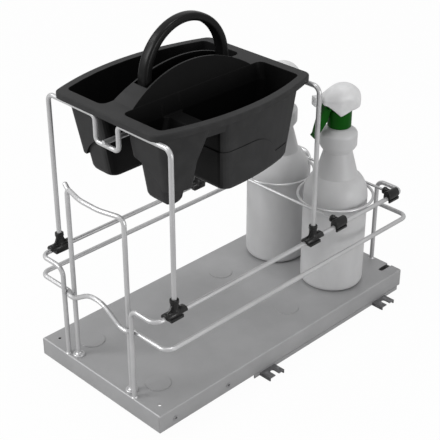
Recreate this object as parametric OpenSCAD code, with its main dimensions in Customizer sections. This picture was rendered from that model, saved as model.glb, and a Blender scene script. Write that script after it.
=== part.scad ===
// Pull-out organizer for the cabinet under a sink: a folded tray on two ball slides, with wire
// rails, a pull loop, a lift-out caddy on two wire hangers and two spray bottles in a ring holder.
// Origin: on the floor, in the middle of the tray's footprint. +X right, +Y back, +Z up.

/* [Floor brackets] */
// Width over the feet of a cross bracket
bracket_span = 276; // [262:1:300]
// Width of a cross bracket, front to back
bracket_w = 28; // [24:1:36]
// Height of a cross bracket
bracket_h = 5.5; // [4.5:0.5:8]
// Sheet of the cross brackets and base rails
bracket_t = 1.5; // [1.2:0.1:2]
// Width of the open screw notch in a foot
notch_w = 7; // [5:0.5:9]
// Depth of the open screw notch in a foot
notch_depth = 12; // [9:0.5:12]
// Distance between the two cross brackets, middle to middle
bracket_spacing = 242; // [200:1:250]
// From the front end of a base rail to the middle of the front bracket
bracket_inset = 25; // [20:1:40]

/* [Slides] */
// Length of a fixed slide rail
fixed_rail_l = 312; // [300:1:330]
// Height of a slide
slide_h = 25; // [24:0.5:32]
// Sheet of the slide rails
slide_t = 1.3; // [1:0.1:1.5]
// Depth of a slide, outside to inside
slide_w = 11.8; // [11.5:0.1:14]
// Diameter of a ball
ball_d = 4; // [3.5:0.1:4.4]
// Running clearance of a ball in its raceway
ball_play = 0.05; // [0.03:0.01:0.08]
// Balls in one row of a cage
balls_per_row = 8; // [4:1:9]
// Distance between neighbouring balls
ball_pitch = 8; // [7:0.5:9]
// Sheet of a ball cage
cage_t = 0.8; // [0.6:0.1:0.9]
// How far the tray pulls out
tray_travel = 235; // [150:5:240]
// Gap from a slide's top to the tray's underside
slide_top_gap = 0.8; // [0.4:0.1:2]
// Gap from a base rail to the tray's flange above it
flange_gap = 0.6; // [0.4:0.1:1.5]
// Distance from a fixed rail's rear end to the rear edge of the tray
slide_rear_inset = 6; // [4:1:10]
// Distance from each end of a moving rail to the tray's end
moving_rail_inset = 8; // [6:1:12]
// Diameter of an eyelet's shank
eyelet_d = 5; // [4:0.2:6]
// Diameter of an eyelet's bore
eyelet_bore = 3; // [2.4:0.2:3.4]
// Diameter of an eyelet's rolled head
eyelet_head_d = 7.4; // [6.6:0.2:7.4]
// Thickness of an eyelet's rolled head
eyelet_head_t = 0.7; // [0.5:0.1:0.9]
// Height of the eyelets above the floor
eyelet_z = 17.6; // [17.4:0.1:21.6]
// Distance of the first eyelet from the tray's front edge
eyelet_inset = 27; // [20:1:60]
// Distance between the two eyelets of a side
eyelet_spacing = 95; // [60:1:120]

/* [Tray] */
// Width of the tray
tray_w = 239; // [232:1:250]
// Depth of the tray
tray_l = 490; // [480:1:520]
// Sheet of the tray
sheet_t = 1.2; // [1:0.1:1.5]
// Outer radius of the fold along the top edges
fold_r = 2; // [1.6:0.1:3]
// Depth of the low rear flange between the slides
rear_flange_h = 18; // [12:1:22]
// Gap from the rear flange to the slides
rear_flange_gap = 6; // [4:1:12]
// Diameter of the round pads pressed up in the tray
pad_d = 34; // [28:1:40]
// Height of the pads
pad_h = 1; // [0.6:0.1:1.4]
// Half of the distance between the left and right pads
pad_x = 67; // [60:1:74]
// Distance of the front pads from the tray's front edge
pad_inset = 45; // [30:1:60]
// Distance between the front and rear pads
pad_spacing = 247; // [200:1:270]
// Diameter of the two small holes near the front corners
corner_hole_d = 4.2; // [3.5:0.1:5]
// Half of the distance between the two small holes
corner_hole_x = 102; // [94:1:108]
// Distance of the two small holes from the front edge
corner_hole_y = 16; // [10:1:24]
// Width of the slots open to the rear edge
rear_slot_w = 8; // [6:0.5:10]
// Length of the slots open to the rear edge
rear_slot_l = 24; // [16:1:32]
// Half of the distance between the rear slots
rear_slot_x = 98; // [92:1:102]

/* [Wire rails] */
// Diameter of the rail, loop and hanger wire
wire_d = 6.4; // [5.5:0.1:6.8]
// Height of the upper rails above the tray, to the wire's middle
upper_rail_h = 134; // [120:1:150]
// Distance of the upper rails inside the sides of the tray
rail_side_inset = 7.5; // [6.5:0.5:8.5]
// Distance of the legs of the upper rails inside the sides of the tray
leg_side_inset = 52.5; // [49:0.5:55.5]
// Distance of the legs from the tray's front and rear edges
leg_inset = 4.6; // [4:0.1:6]
// Bend radius of the rail wires, to the wire's middle
rail_bend_r = 12.5; // [10:0.5:13]
// Height of the lower rail above the tray, to the wire's middle
lower_rail_h = 97; // [85:1:108]
// How far the lower rail stands out beyond the sides of the tray
lower_rail_overhang = 5.5; // [3:0.5:8]
// Rise of the front wave of the lower rail
wave_rise = 20; // [12:1:24]
// Half of the width of the wave at its foot
wave_foot_x = 46; // [45:0.5:47.5]
// Half of the width of the wave at its top
wave_top_x = 14; // [12.5:0.5:15]
// Gap left for the weld between two touching wires
weld_gap = 0.1; // [0.05:0.05:0.2]

/* [Pull loop] */
// Half of the distance between the legs of the loop
loop_x = 54; // [53:0.5:55]
// Height of the loop above the tray, to the wire's middle
loop_h = 254; // [230:1:270]
// How far the loop's bar bows forward
loop_bow = 9; // [6:0.5:12]
// Half of the width of the straight middle of the bar
loop_bar_x = 18; // [14:0.5:22]
// Bend radius of the loop's upper corners
loop_bend_r = 10; // [8:0.5:12]
// Diameter of a loop foot
loop_foot_d = 16; // [12:0.5:18]
// Height of a loop foot
loop_foot_h = 3; // [2:0.5:4]

/* [Caddy frame] */
// Height of the hangers above the tray, to the wire's middle
hanger_h = 355; // [330:1:370]
// Distance of the front hanger from the tray's front edge
hanger_front_y = 36; // [36:0.5:40]
// Distance between the two hangers
hanger_spacing = 253; // [250:0.5:256]
// Bend radius of the hangers' upper corners
hanger_bend_r = 10; // [8:0.5:12]
// Depth of the dip in the middle of a hanger
dip_depth = 34; // [28:1:38]
// Half of the width of the dip, to the wire's middle
dip_x = 21; // [19:0.5:23]
// Bend radius of the dip's corners
dip_bend_r = 7; // [6:0.5:8]
// How far the tie wire's blunt ends stand past the dips
tie_overhang = 3; // [2:0.5:5]

/* [Hanger clips] */
// Length of a clip along the rail
clip_l = 36; // [28:1:37]
// Wall of a clip round the rail
clip_t = 3; // [2.4:0.1:3.4]
// Clearance of a clip round its wires
clip_play = 0.1; // [0.05:0.05:0.3]
// Height of the socket above the clip's saddle
socket_h = 16; // [12:0.5:20]
// Depth of the hanger's end in the socket
socket_depth = 12; // [9:0.5:14]
// Outer diameter of the socket
socket_d = 12; // [11:0.2:13]
// Width of the slit between the socket's two ears
ear_slit = 3.4; // [2.5:0.1:4.5]
// Depth of the slit between the socket's two ears
ear_depth = 7; // [5:0.5:9]
// Height of the rail window between the clip's jaws
jaw_gap = 4.4; // [3.5:0.1:5]

/* [Ring holder] */
// Diameter of the ring and cross wires
ring_wire_d = 4; // [3.5:0.1:5]
// Diameter of a ring, to the wire's middle
ring_d = 108; // [102:1:112]
// Height of the rings above the upper rails, between the wires' middles
ring_rise = 5.5; // [5.5:0.5:8]
// Distance of the rings' middles from the tray's front edge
ring_y = 402; // [398:1:408]
// Length of a ring clip along the rail
ring_clip_l = 22; // [16:1:24]
// Wall of a ring clip round the rail
ring_clip_t = 3; // [2.4:0.1:3.4]
// Outer diameter of the boss round a cross wire's end
boss_d = 8; // [7:0.2:9]
// Length of the boss round a cross wire's end
boss_l = 10; // [8:0.5:14]
// How far the outer lip of a ring clip hangs below the rail
clip_lip_h = 4; // [2:0.5:6]

/* [Caddy] */
// Width of the caddy's rim at its widest
caddy_w = 234; // [228:1:240]
// Length of the caddy's rim, front to back
caddy_l = 266; // [262:1:272]
// How much wider the rim is in its middle than at its ends, one side
caddy_bulge = 26; // [16:1:32]
// Radius of the rim's corners
caddy_corner_r = 12; // [8:1:16]
// Height of the caddy below the rim's top
caddy_h = 112; // [100:1:118]
// Height of the rim's skirt
rim_h = 8; // [6:0.5:10]
// Width of the rim's flat at the front and rear
rim_end_w = 15.5; // [14:0.5:17]
// Width of the rim's flat at the sides
rim_side_w = 12; // [10:0.5:13]
// Wall of the caddy
caddy_t = 2.4; // [2:0.1:2.8]
// How much the caddy's walls lean in, for each unit of depth
wall_lean = 0.12; // [0.06:0.01:0.14]
// Depth from the rim to the saddle between the two right-hand wells
saddle_depth = 22; // [18:0.5:26]
// Distance of the saddle's middle in front of the caddy's middle
saddle_y = 41.5; // [36:0.5:46]
// Length of the saddle, front to back
saddle_l = 21; // [18:0.5:26]
// Half of the width of the divider at the rim
divider_x = 18; // [17:0.5:19]
// Length of the divider's arch
arch_l = 200; // [190:2:208]
// Rise of the divider's arch above the rim
arch_rise = 32; // [24:1:36]
// Depth from the rim to the floor of the divider's channel
channel_depth = 14; // [11:0.5:16]
// Depth from the rim to the top of the arched shoulder
shoulder_depth = 54; // [46:1:58]
// Radius of the arched shoulder
shoulder_r = 58; // [54:1:62]
// Depth from the rim to the flat ends of the shoulder
ledge_depth = 88; // [84:1:92]
// How far the wells step in at the shoulder
shoulder_step = 9; // [6:0.5:10]

/* [Caddy handle] */
// Radius of the handle's arch, to the bar's middle
handle_r = 65; // [62:0.5:68]
// Thickness of the handle's bar
handle_t = 13; // [11:0.5:15]
// Width of the handle's bar, side to side
handle_w = 16; // [14:0.5:18]
// Height of the arch's springing above the rim
handle_rise = 19; // [15:0.5:22]

/* [Bottles] */
// Diameter of a bottle
bottle_d = 92; // [86:1:94]
// Height of a bottle's straight body
body_h = 118; // [110:1:122]
// Height at which the shoulder meets the neck
neck_foot_h = 174; // [168:1:178]
// Diameter at the neck's foot
neck_foot_d = 52; // [48:1:56]
// Height at which the neck meets the bulge under the collar
neck_top_h = 211; // [206:1:216]
// Diameter at the neck's top
neck_top_d = 40; // [36:1:42]
// Diameter of the bulge under the collar
bulge_d = 53; // [50:1:56]
// Height of the bulge
bulge_h = 36; // [32:1:40]
// Height of the chamfers of the bulge
bulge_chamfer = 9; // [7:0.5:10]
// Diameter of a bottle's mouth, outside
finish_d = 26; // [24:0.5:27]
// Height of a bottle's mouth
finish_h = 15; // [12:0.5:16]
// Wall of a bottle
bottle_t = 1.4; // [1:0.1:2]
// Radius of a bottle's foot
bottle_foot_r = 7; // [5:0.5:9]

/* [Sprayers] */
// Diameter of the green collar
collar_d = 33.5; // [32:0.5:35]
// Height of the green collar
collar_h = 26; // [22:0.5:26]
// Direction of the nozzles, counted from straight right
spray_turn = -115; // [-180:1:0]
// Reach from a bottle's middle to the nozzle's face
nozzle_reach = 40.5; // [39:0.5:44]
// Width of the square nozzle
nozzle_w = 13; // [11:0.5:14]
// Length of the square nozzle
nozzle_l = 9; // [7:0.5:11]
// Height of the nozzle's middle above the collar's foot
nozzle_h = 42; // [40:0.5:43]
// Height of the sprayer head above the collar's foot
head_h = 63; // [60:0.5:65]
// Width of the sprayer head
head_w = 37; // [36:0.5:40]
// Width of the trigger
trigger_w = 13; // [11:0.5:14]
// Wall of the trigger's hollow blade
trigger_t = 1.6; // [1.2:0.1:2]
// Reach of the trigger's pivot from the bottle's middle
pivot_reach = 21; // [20:0.5:22]
// Height of the trigger's pivot above the collar's foot
pivot_h = 31; // [30:0.5:32]
// Diameter of the trigger's pivot pin
pivot_d = 3; // [2.5:0.1:3.5]
// Clearance of the trigger's pin and the nozzle's stub in their bores
pivot_play = 0.08; // [0.03:0.01:0.1]
// Drop of the trigger's tip below its pivot
trigger_drop = 43; // [38:1:46]
// Diameter of the dip tube
dip_tube_d = 6; // [5:0.5:7]

/* [Hidden] */
$fn = 32;

// One overrun serves all cuts
overrun = 1;
// Thickness of a slab that only marks one end of a loft
slab = 0.02;

// Colours as photographed
steel = [0.64, 0.64, 0.65];
dark_steel = [0.3, 0.3, 0.31];
black = [0.11, 0.11, 0.11];
charcoal = [0.2, 0.2, 0.2];
milky = [0.74, 0.75, 0.76];
pale = [0.84, 0.84, 0.85];
green = [0.05, 0.38, 0.12];

// Levels of the slides and the tray
base_top = bracket_h + bracket_t;
slide_top = base_top + slide_h;
tray_under = slide_top + slide_top_gap;
tray_top = tray_under + sheet_t;
flange_bottom = base_top + flange_gap;
front_y = -tray_l / 2;
rear_y = tray_l / 2;
flange_in_x = tray_w / 2 - sheet_t;
eyelet_places = [eyelet_inset, eyelet_inset + eyelet_spacing];
pad_rows = [pad_inset, pad_inset + pad_spacing];
skirt_lift = 1;
skirt_gap = 0.4;
corner_slit = 0.4;

// Slide section: u runs inward from the side flange, w upward from the base rail
race_r = ball_d / 2 + ball_play;
lip_r = race_r + slide_t;
rail_gap = 0.4;
arm_gap = cage_t / 2 + rail_gap;
ball_u = 2 * slide_t + race_r + rail_gap;
ball_w = lip_r;
cage_u = (ball_u + lip_r + slide_w - slide_t) / 2;
fixed_rail_rear = rear_y - slide_rear_inset;
fixed_rail_front = fixed_rail_rear - fixed_rail_l;
front_bracket_y = fixed_rail_front + bracket_inset;
rear_bracket_y = front_bracket_y + bracket_spacing;
cage_l = balls_per_row * ball_pitch;
cage_front = fixed_rail_front + tray_travel / 2;

// Wire places
wire_r = wire_d / 2;
upper_rail_x = tray_w / 2 - rail_side_inset;
lower_rail_x = tray_w / 2 + lower_rail_overhang;
leg_x = tray_w / 2 - leg_side_inset;
weld_step = wire_d + weld_gap;
front_leg_y = front_y + leg_inset;
rear_leg_y = rear_y - leg_inset;
inner_wire_y = front_leg_y + weld_step;
upper_rail_z = tray_top + upper_rail_h;
lower_rail_z = tray_top + lower_rail_h;
lower_bend_r = rail_bend_r;
jog_x = (leg_x + loop_x) / 2;
jog_half_share = 0.2;
jog_half = (leg_x - loop_x) * jog_half_share;
jog_bend_r = 1.05 * wire_d;
wave_foot_r = 3.4 * wire_d;
wave_top_r = 6.4 * wire_d;
bow_bend_r = 9 * wire_d;
loop_z = tray_top + loop_h;
hanger_z = tray_top + hanger_h;
front_hanger_y = front_y + hanger_front_y;
rear_hanger_y = front_hanger_y + hanger_spacing;
tie_z = hanger_z - dip_depth + weld_step;

// Clip section round a rail
clip_bore_r = wire_r + clip_play;
clip_r = clip_bore_r + clip_t;
jaw_x_share = 0.7;
lower_jaw_share = 0.64;
socket_top = clip_r + socket_h;
leg_bottom_z = upper_rail_z + socket_top - socket_depth;
gusset_t = socket_d / 2;
gusset_l_share = 0.8;
gusset_h_share = 0.62;

// Ring holder places
ring_z = upper_rail_z + ring_rise;
ring_mid_y = front_y + ring_y;
ring_half = ring_d / 2;
ring_mid_x = ring_half + (ring_wire_d + weld_gap) / 2;
cross_wire_step = ring_half + ring_wire_d + weld_gap;
ring_clip_r = clip_bore_r + ring_clip_t;
boss_bore = ring_wire_d + 2 * clip_play;
boss_start = clip_bore_r + ring_clip_t / 2;
cross_wire_end = upper_rail_x - boss_start - clip_play;

// Caddy levels and places, from the caddy's own middle and the top of its rim
caddy_y = (front_hanger_y + rear_hanger_y) / 2;
seat_gap = 0.1;
rim_bottom = hanger_z + wire_r + seat_gap;
rim_top = rim_bottom + rim_h;
half_l = caddy_l / 2;
mouth_l = half_l - rim_end_w;
mouth_w = caddy_w / 2 - rim_side_w;
barrel_r = (half_l * half_l + caddy_bulge * caddy_bulge) / (2 * caddy_bulge);
front_lean = 1.5 * wall_lean;
groove_lean = 3 * wall_lean;
divider_lean = 1.8 * wall_lean;
saddle_front = -saddle_y - saddle_l / 2;
saddle_rear = -saddle_y + saddle_l / 2;
arch_r = (arch_l * arch_l / 4 + arch_rise * arch_rise) / (2 * arch_rise);
well_r = caddy_corner_r * 0.75;
foot_r = 3 * caddy_t;
floor_depth = caddy_h - caddy_t;
shoulder_overlap = 3 * caddy_t;
proud_share = 0.4;
rib_inset = 0.2;
end_step_share = 0.35;
channel_front = -handle_r - handle_t / 2 - seat_gap;
channel_rear = channel_front + arch_l * 0.82;
rim_edge_r = rim_h * 0.25;
seat_rib_shares = [0.4, 0.66];

// Handle places
handle_spring_z = rim_top + handle_rise;
handle_seat_z = rim_top - channel_depth + seat_gap;
foot_collar_t = 1.5;
foot_collar_h = handle_t * 0.4;

// Bottle and sprayer levels, from the bottle's own foot
bottle_r = bottle_d / 2;
bulge_top = neck_top_h + bulge_h;
finish_top = bulge_top + finish_h;
bottle_z = tray_top + seat_gap;
collar_foot = bulge_top + seat_gap;
collar_bore_r = finish_d / 2 + seat_gap;
dip_tube_foot = bottle_foot_r;
head_gap = 0.3;
trigger_gap = 0.3;
pivot_boss_r = 1.6 * pivot_d;
stub_d = nozzle_w * 0.6;
stub_l = nozzle_l;
spray_bore_d = nozzle_w * 0.2;

function unit(v) = v / norm(v);
// Any direction square to d
function side_of(d) = abs(d.z) < 0.9 ? unit(cross([0, 0, 1], d)) : unit(cross([0, 1, 0], d));
// Frame with its origin at p, x axis along n and z axis along d
function frame_at(p, n, d) = let (b = cross(d, n)) [
    [n.x, b.x, d.x, p.x], [n.y, b.y, d.y, p.y], [n.z, b.z, d.z, p.z], [0, 0, 0, 1]
];
// Points of an arc of radius r about c, from angle a to angle b, in n steps
function arc(c, r, a, b, n) = [
    for (i = [0:n]) let (t = a + (b - a) * i / n) [c.x + r * cos(t), c.y + r * sin(t)]
];

// Round wire through the points, with a bend radius at each inner point
module wire(points, bends, d) {
    last = len(points) - 1;
    dirs = [for (i = [0:last - 1]) unit(points[i + 1] - points[i])];
    turns = [for (i = [0:last]) i == 0 || i == last ? 0 : acos(dirs[i - 1] * dirs[i])];
    trims = [for (i = [0:last]) i == 0 || i == last ? 0 : bends[i - 1] * tan(turns[i] / 2)];
    for (i = [0:last - 1]) {
        start = points[i] + dirs[i] * trims[i];
        run = norm(points[i + 1] - points[i]) - trims[i] - trims[i + 1];
        multmatrix(frame_at(start, side_of(dirs[i]), dirs[i])) cylinder(h = run, d = d);
    }
    for (i = [1:last - 1]) {
        inward = unit(dirs[i] - dirs[i - 1] * cos(turns[i]));
        centre = points[i] - dirs[i - 1] * trims[i] + inward * bends[i - 1];
        multmatrix(frame_at(centre, -inward, cross(-inward, dirs[i - 1])))
            rotate_extrude(angle = turns[i], $fn = 96) translate([bends[i - 1], 0]) circle(d = d);
    }
}

function turned(v, axis, a) = v * cos(a) + cross(axis, v) * sin(a) + axis * (axis * v) * (1 - cos(a));
// Directions square to each straight run, carried round the bends without twist
function carried(dirs, turns, i) = i == 0 ? [side_of(dirs[0])] : let (
    before = carried(dirs, turns, i - 1)
) concat(before, [turned(before[i - 1], unit(cross(dirs[i - 1], dirs[i])), turns[i])]);

// Round wire whose bends may turn by any angle, as one skin swept through rings of points
module swept_wire(points, bends, d) {
    sides = 14;
    last = len(points) - 1;
    dirs = [for (i = [0:last - 1]) unit(points[i + 1] - points[i])];
    turns = [for (i = [0:last]) i == 0 || i == last ? 0 : acos(dirs[i - 1] * dirs[i])];
    squares = carried(dirs, turns, last - 1);
    rings = concat(
        [[points[0], squares[0], dirs[0]]],
        [for (i = [1:last - 1]) let (
            r = bends[i - 1], a = dirs[i - 1], axis = unit(cross(a, dirs[i])), out = cross(a, axis),
            centre = points[i] - a * r * tan(turns[i] / 2) - out * r, steps = ceil(turns[i] / 12)
        ) for (k = [0:steps]) let (t = turns[i] * k / steps) [
            centre + turned(out, axis, t) * r, turned(squares[i - 1], axis, t), turned(a, axis, t)
        ]],
        [[points[last], squares[last - 1], dirs[last - 1]]]
    );
    n = len(rings);
    polyhedron(
        points = [for (q = rings, k = [0:sides - 1]) let (a = 360 * k / sides)
            q[0] + (q[1] * cos(a) + cross(q[2], q[1]) * sin(a)) * d / 2],
        faces = concat(
            [[for (k = [0:sides - 1]) k], [for (k = [sides - 1:-1:0]) (n - 1) * sides + k]],
            [for (i = [0:n - 2], k = [0:sides - 1]) let (a = i * sides + k, b = i * sides + (k + 1) % sides)
                each [[a, a + sides, b + sides], [a, b + sides, b]]]
        )
    );
}

// Shape drawn in x and z, run along y from y0 to y1
module along_y(y0, y1) {
    translate([0, y1, 0]) rotate([90, 0, 0]) linear_extrude(height = y1 - y0) children();
}

// Shape drawn in y and z, run along x from x0 to x1
module along_x(x0, x1) {
    translate([x0, 0, 0]) rotate([90, 0, 90]) linear_extrude(height = x1 - x0) children();
}

// Right-hand pieces are drawn, left-hand ones mirrored
module on_side(s) {
    mirror([s < 0 ? 1 : 0, 0, 0]) children();
}

// Floor brackets and base rails

module cross_bracket(y) {
    half_w = bracket_w / 2;
    notch_x = bracket_span / 2 - notch_depth + notch_w / 2;
    color(dark_steel) translate([0, y, 0]) difference() {
        along_x(-bracket_span / 2, bracket_span / 2) difference() {
            translate([-half_w, 0]) square([bracket_w, bracket_h]);
            translate([bracket_t - half_w, -overrun])
                square([bracket_w - 2 * bracket_t, bracket_h - bracket_t + overrun]);
        }
        for (s = [-1, 1]) {
            translate([s * notch_x, 0, -overrun]) cylinder(h = bracket_h + 2 * overrun, d = notch_w);
            translate([s * (notch_x + notch_w) - notch_w, -notch_w / 2, -overrun])
                cube([2 * notch_w, notch_w, bracket_h + 2 * overrun]);
        }
    }
}

module base_rail(s) {
    cut_w = bracket_w + 2 * skirt_gap;
    color(steel) on_side(s) difference() {
        along_y(fixed_rail_front, fixed_rail_rear) {
            translate([flange_in_x - slide_w, bracket_h])
                square([tray_w / 2 - flange_in_x + slide_w, bracket_t]);
            translate([tray_w / 2 - bracket_t, skirt_lift])
                square([bracket_t, bracket_h - skirt_lift]);
        }
        for (y = [front_bracket_y, rear_bracket_y])
            translate([flange_in_x - slide_w, y - cut_w / 2, -overrun])
                cube([tray_w, cut_w, bracket_h + overrun]);
    }
}

// Ball slides

// One quarter of a raceway and its flat, round a ball at the origin, on the side of +x and -y
module race_quarter(flat_l) {
    difference() {
        intersection() {
            circle(r = lip_r);
            translate([0, -lip_r]) square([lip_r, lip_r - arm_gap]);
        }
        circle(r = race_r);
    }
    translate([-flat_l, -lip_r]) square([flat_l, slide_t]);
}

module fixed_rail_profile() {
    translate([slide_w - slide_t, 0]) square([slide_t, slide_h]);
    translate([ball_u, slide_h - ball_w]) rotate(180) race_quarter(slide_w - ball_u);
    translate([ball_u, ball_w]) mirror([1, 0]) race_quarter(slide_w - ball_u);
}

module moving_rail_profile() {
    low = ball_w + race_r;
    square_h = slide_h - 2 * low;
    translate([0, low]) square([slide_t, square_h]);
    translate([ball_u, slide_h - ball_w]) race_quarter(ball_u);
    translate([ball_u, ball_w]) mirror([0, 1]) race_quarter(ball_u);
}

module in_slide() {
    translate([flange_in_x, base_top]) mirror([1, 0]) children();
}

module fixed_rail(s) {
    color(steel) on_side(s) along_y(fixed_rail_front, fixed_rail_rear)
        in_slide() fixed_rail_profile();
}

module moving_rail(s) {
    color(steel) on_side(s) difference() {
        along_y(front_y + moving_rail_inset, rear_y - moving_rail_inset)
            in_slide() moving_rail_profile();
        eyelet_holes();
    }
}

module ball_rows() {
    for (row = [ball_w, slide_h - ball_w], i = [0:balls_per_row - 1])
        translate([
            flange_in_x - ball_u, cage_front + ball_pitch * (i + 0.5), base_top + row
        ]) children();
}

module ball_cage(s) {
    half_t = cage_t / 2;
    color(dark_steel) on_side(s) difference() {
        along_y(cage_front, cage_front + cage_l) in_slide() {
            translate([cage_u - half_t, ball_w - half_t])
                square([cage_t, slide_h - 2 * ball_w + cage_t]);
            for (row = [ball_w, slide_h - ball_w])
                translate([ball_u - race_r - cage_t, row - half_t])
                    square([cage_u - ball_u + race_r + cage_t, cage_t]);
        }
        ball_rows() translate([0, 0, -cage_t]) cylinder(h = 2 * cage_t, r = race_r);
    }
}

module slide_balls(s) {
    color(pale) on_side(s) ball_rows() sphere(d = ball_d);
}

// Tray

module eyelet_holes() {
    for (place = eyelet_places)
        translate([flange_in_x - slide_t - overrun, front_y + place, eyelet_z]) rotate([0, 90, 0])
            cylinder(h = slide_t + sheet_t + 2 * overrun, d = eyelet_d);
}

// Rectangle with its two upper corners rounded
module folded_top(w, h, r) {
    square([w, h - r]);
    translate([r, 0]) square([w - 2 * r, h]);
    for (x = [r, w - r])
        translate([x, h - r]) circle(r = r, $fn = 48);
}

module tray() {
    h = tray_top - flange_bottom;
    in_r = fold_r - sheet_t;
    rear_flange_x = flange_in_x - slide_w - rear_flange_gap;
    color(steel) difference() {
        union() {
            difference() {
                intersection() {
                    along_y(front_y, rear_y) translate([-tray_w / 2, flange_bottom])
                        folded_top(tray_w, h, fold_r);
                    along_x(-tray_w / 2, tray_w / 2) translate([front_y, flange_bottom])
                        folded_top(tray_l + fold_r, h, fold_r);
                }
                intersection() {
                    along_y(front_y + sheet_t, rear_y + overrun)
                        translate([-flange_in_x, flange_bottom - overrun])
                        folded_top(2 * flange_in_x, h - sheet_t + overrun, in_r);
                    along_x(-flange_in_x, flange_in_x)
                        translate([front_y + sheet_t, flange_bottom - overrun])
                        folded_top(tray_l + fold_r, h - sheet_t + overrun, in_r);
                }
            }
            translate([-rear_flange_x, rear_y - sheet_t, tray_top - rear_flange_h])
                cube([2 * rear_flange_x, sheet_t, rear_flange_h - sheet_t / 2]);
            for (x = [-pad_x, pad_x], row = pad_rows)
                translate([x, front_y + row, tray_under]) cylinder(h = sheet_t + pad_h, d = pad_d, $fn = 64);
        }
        for (x = [-pad_x, pad_x], row = pad_rows)
            translate([x, front_y + row, tray_under - overrun])
                cylinder(h = pad_h + overrun, d = pad_d - 2 * sheet_t, $fn = 64);
        for (x = [-corner_hole_x, corner_hole_x])
            translate([x, front_y + corner_hole_y, tray_under - overrun])
                cylinder(h = sheet_t + 2 * overrun, d = corner_hole_d);
        for (x = [-rear_slot_x, rear_slot_x]) {
            translate([x, rear_y - rear_slot_l + rear_slot_w / 2, tray_under - overrun])
                cylinder(h = sheet_t + 2 * overrun, d = rear_slot_w);
            translate([
                x - rear_slot_w / 2, rear_y - rear_slot_l + rear_slot_w / 2, tray_under - overrun
            ]) cube([rear_slot_w, rear_slot_l, sheet_t + 2 * overrun]);
        }
        for (s = [-1, 1]) {
            on_side(s) eyelet_holes();
            on_side(s) translate([flange_in_x - corner_slit, front_y - overrun, flange_bottom - overrun])
                cube([corner_slit, sheet_t + overrun, h - fold_r + overrun]);
        }
    }
}

module slide_eyelets() {
    inner_x = flange_in_x - slide_t;
    color(steel) for (s = [-1, 1], place = eyelet_places)
        on_side(s) translate([0, front_y + place, eyelet_z]) rotate([0, 90, 0]) difference() {
            union() {
                translate([0, 0, inner_x]) cylinder(h = tray_w / 2 - inner_x, d = eyelet_d);
                translate([0, 0, inner_x - eyelet_head_t]) cylinder(h = eyelet_head_t, d = eyelet_head_d);
                translate([0, 0, tray_w / 2]) cylinder(h = eyelet_head_t, d = eyelet_head_d);
            }
            translate([0, 0, inner_x - eyelet_head_t - overrun])
                cylinder(h = tray_w / 2 - inner_x + 2 * (eyelet_head_t + overrun), d = eyelet_bore);
        }
}

// Wire rails and pull loop

module upper_rail(s) {
    color(steel) on_side(s) wire([
        [leg_x, front_leg_y, tray_top], [leg_x, front_leg_y, upper_rail_z],
        [upper_rail_x, front_leg_y, upper_rail_z], [upper_rail_x, rear_leg_y, upper_rail_z],
        [leg_x, rear_leg_y, upper_rail_z], [leg_x, rear_leg_y, tray_top]
    ], [for (i = [0:3]) rail_bend_r], wire_d);
}

// Right half of the lower rail's line, from its rear end to the top of the wave
function lower_rail_half() = [
    [leg_x + wire_r + weld_gap, rear_leg_y, lower_rail_z],
    [lower_rail_x, rear_leg_y, lower_rail_z],
    [lower_rail_x, inner_wire_y, lower_rail_z],
    [jog_x + jog_half, inner_wire_y, lower_rail_z],
    [jog_x - jog_half, front_leg_y, lower_rail_z],
    [wave_foot_x, front_leg_y, lower_rail_z],
    [wave_top_x, front_leg_y, lower_rail_z + wave_rise]
];

module lower_rail() {
    half = lower_rail_half();
    last = len(half) - 1;
    bends = [lower_bend_r, lower_bend_r, jog_bend_r, jog_bend_r, wave_foot_r, wave_top_r];
    color(steel) swept_wire(
        concat(half, [for (i = [last:-1:0]) [-half[i].x, half[i].y, half[i].z]]),
        concat(bends, [for (i = [last - 1:-1:0]) bends[i]]), wire_d
    );
}

module pull_loop() {
    bar_y = inner_wire_y - loop_bow;
    color(steel) swept_wire([
        [-loop_x, inner_wire_y, tray_top], [-loop_x, inner_wire_y, loop_z],
        [-loop_bar_x, bar_y, loop_z], [loop_bar_x, bar_y, loop_z],
        [loop_x, inner_wire_y, loop_z], [loop_x, inner_wire_y, tray_top]
    ], [loop_bend_r, bow_bend_r, bow_bend_r, loop_bend_r], wire_d);
}

module loop_feet() {
    round_r = loop_foot_h / 2;
    color(steel) for (s = [-1, 1])
        translate([s * loop_x, inner_wire_y, tray_top]) rotate_extrude() difference() {
            union() {
                square([loop_foot_d / 2 - round_r, loop_foot_h]);
                square([loop_foot_d / 2, loop_foot_h - round_r]);
                translate([loop_foot_d / 2 - round_r, loop_foot_h - round_r]) circle(r = round_r);
            }
            translate([0, -overrun]) square([wire_r + weld_gap, loop_foot_h + 2 * overrun]);
        }
}

// Caddy frame

module hanger(y) {
    foot = [upper_rail_x, y, leg_bottom_z];
    corner = [upper_rail_x, y, hanger_z];
    dip_top = [dip_x, y, hanger_z];
    dip_low = [dip_x, y, hanger_z - dip_depth];
    half = [foot, corner, dip_top, dip_low];
    color(steel) wire(
        concat(half, [for (i = [3:-1:0]) [-half[i].x, half[i].y, half[i].z]]),
        [hanger_bend_r, dip_bend_r, dip_bend_r, dip_bend_r, dip_bend_r, hanger_bend_r], wire_d
    );
}

module tie_wire() {
    reach = wire_r + tie_overhang;
    color(steel) along_y(front_hanger_y - reach, rear_hanger_y + reach)
        translate([0, tie_z]) circle(r = wire_r);
}

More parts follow.
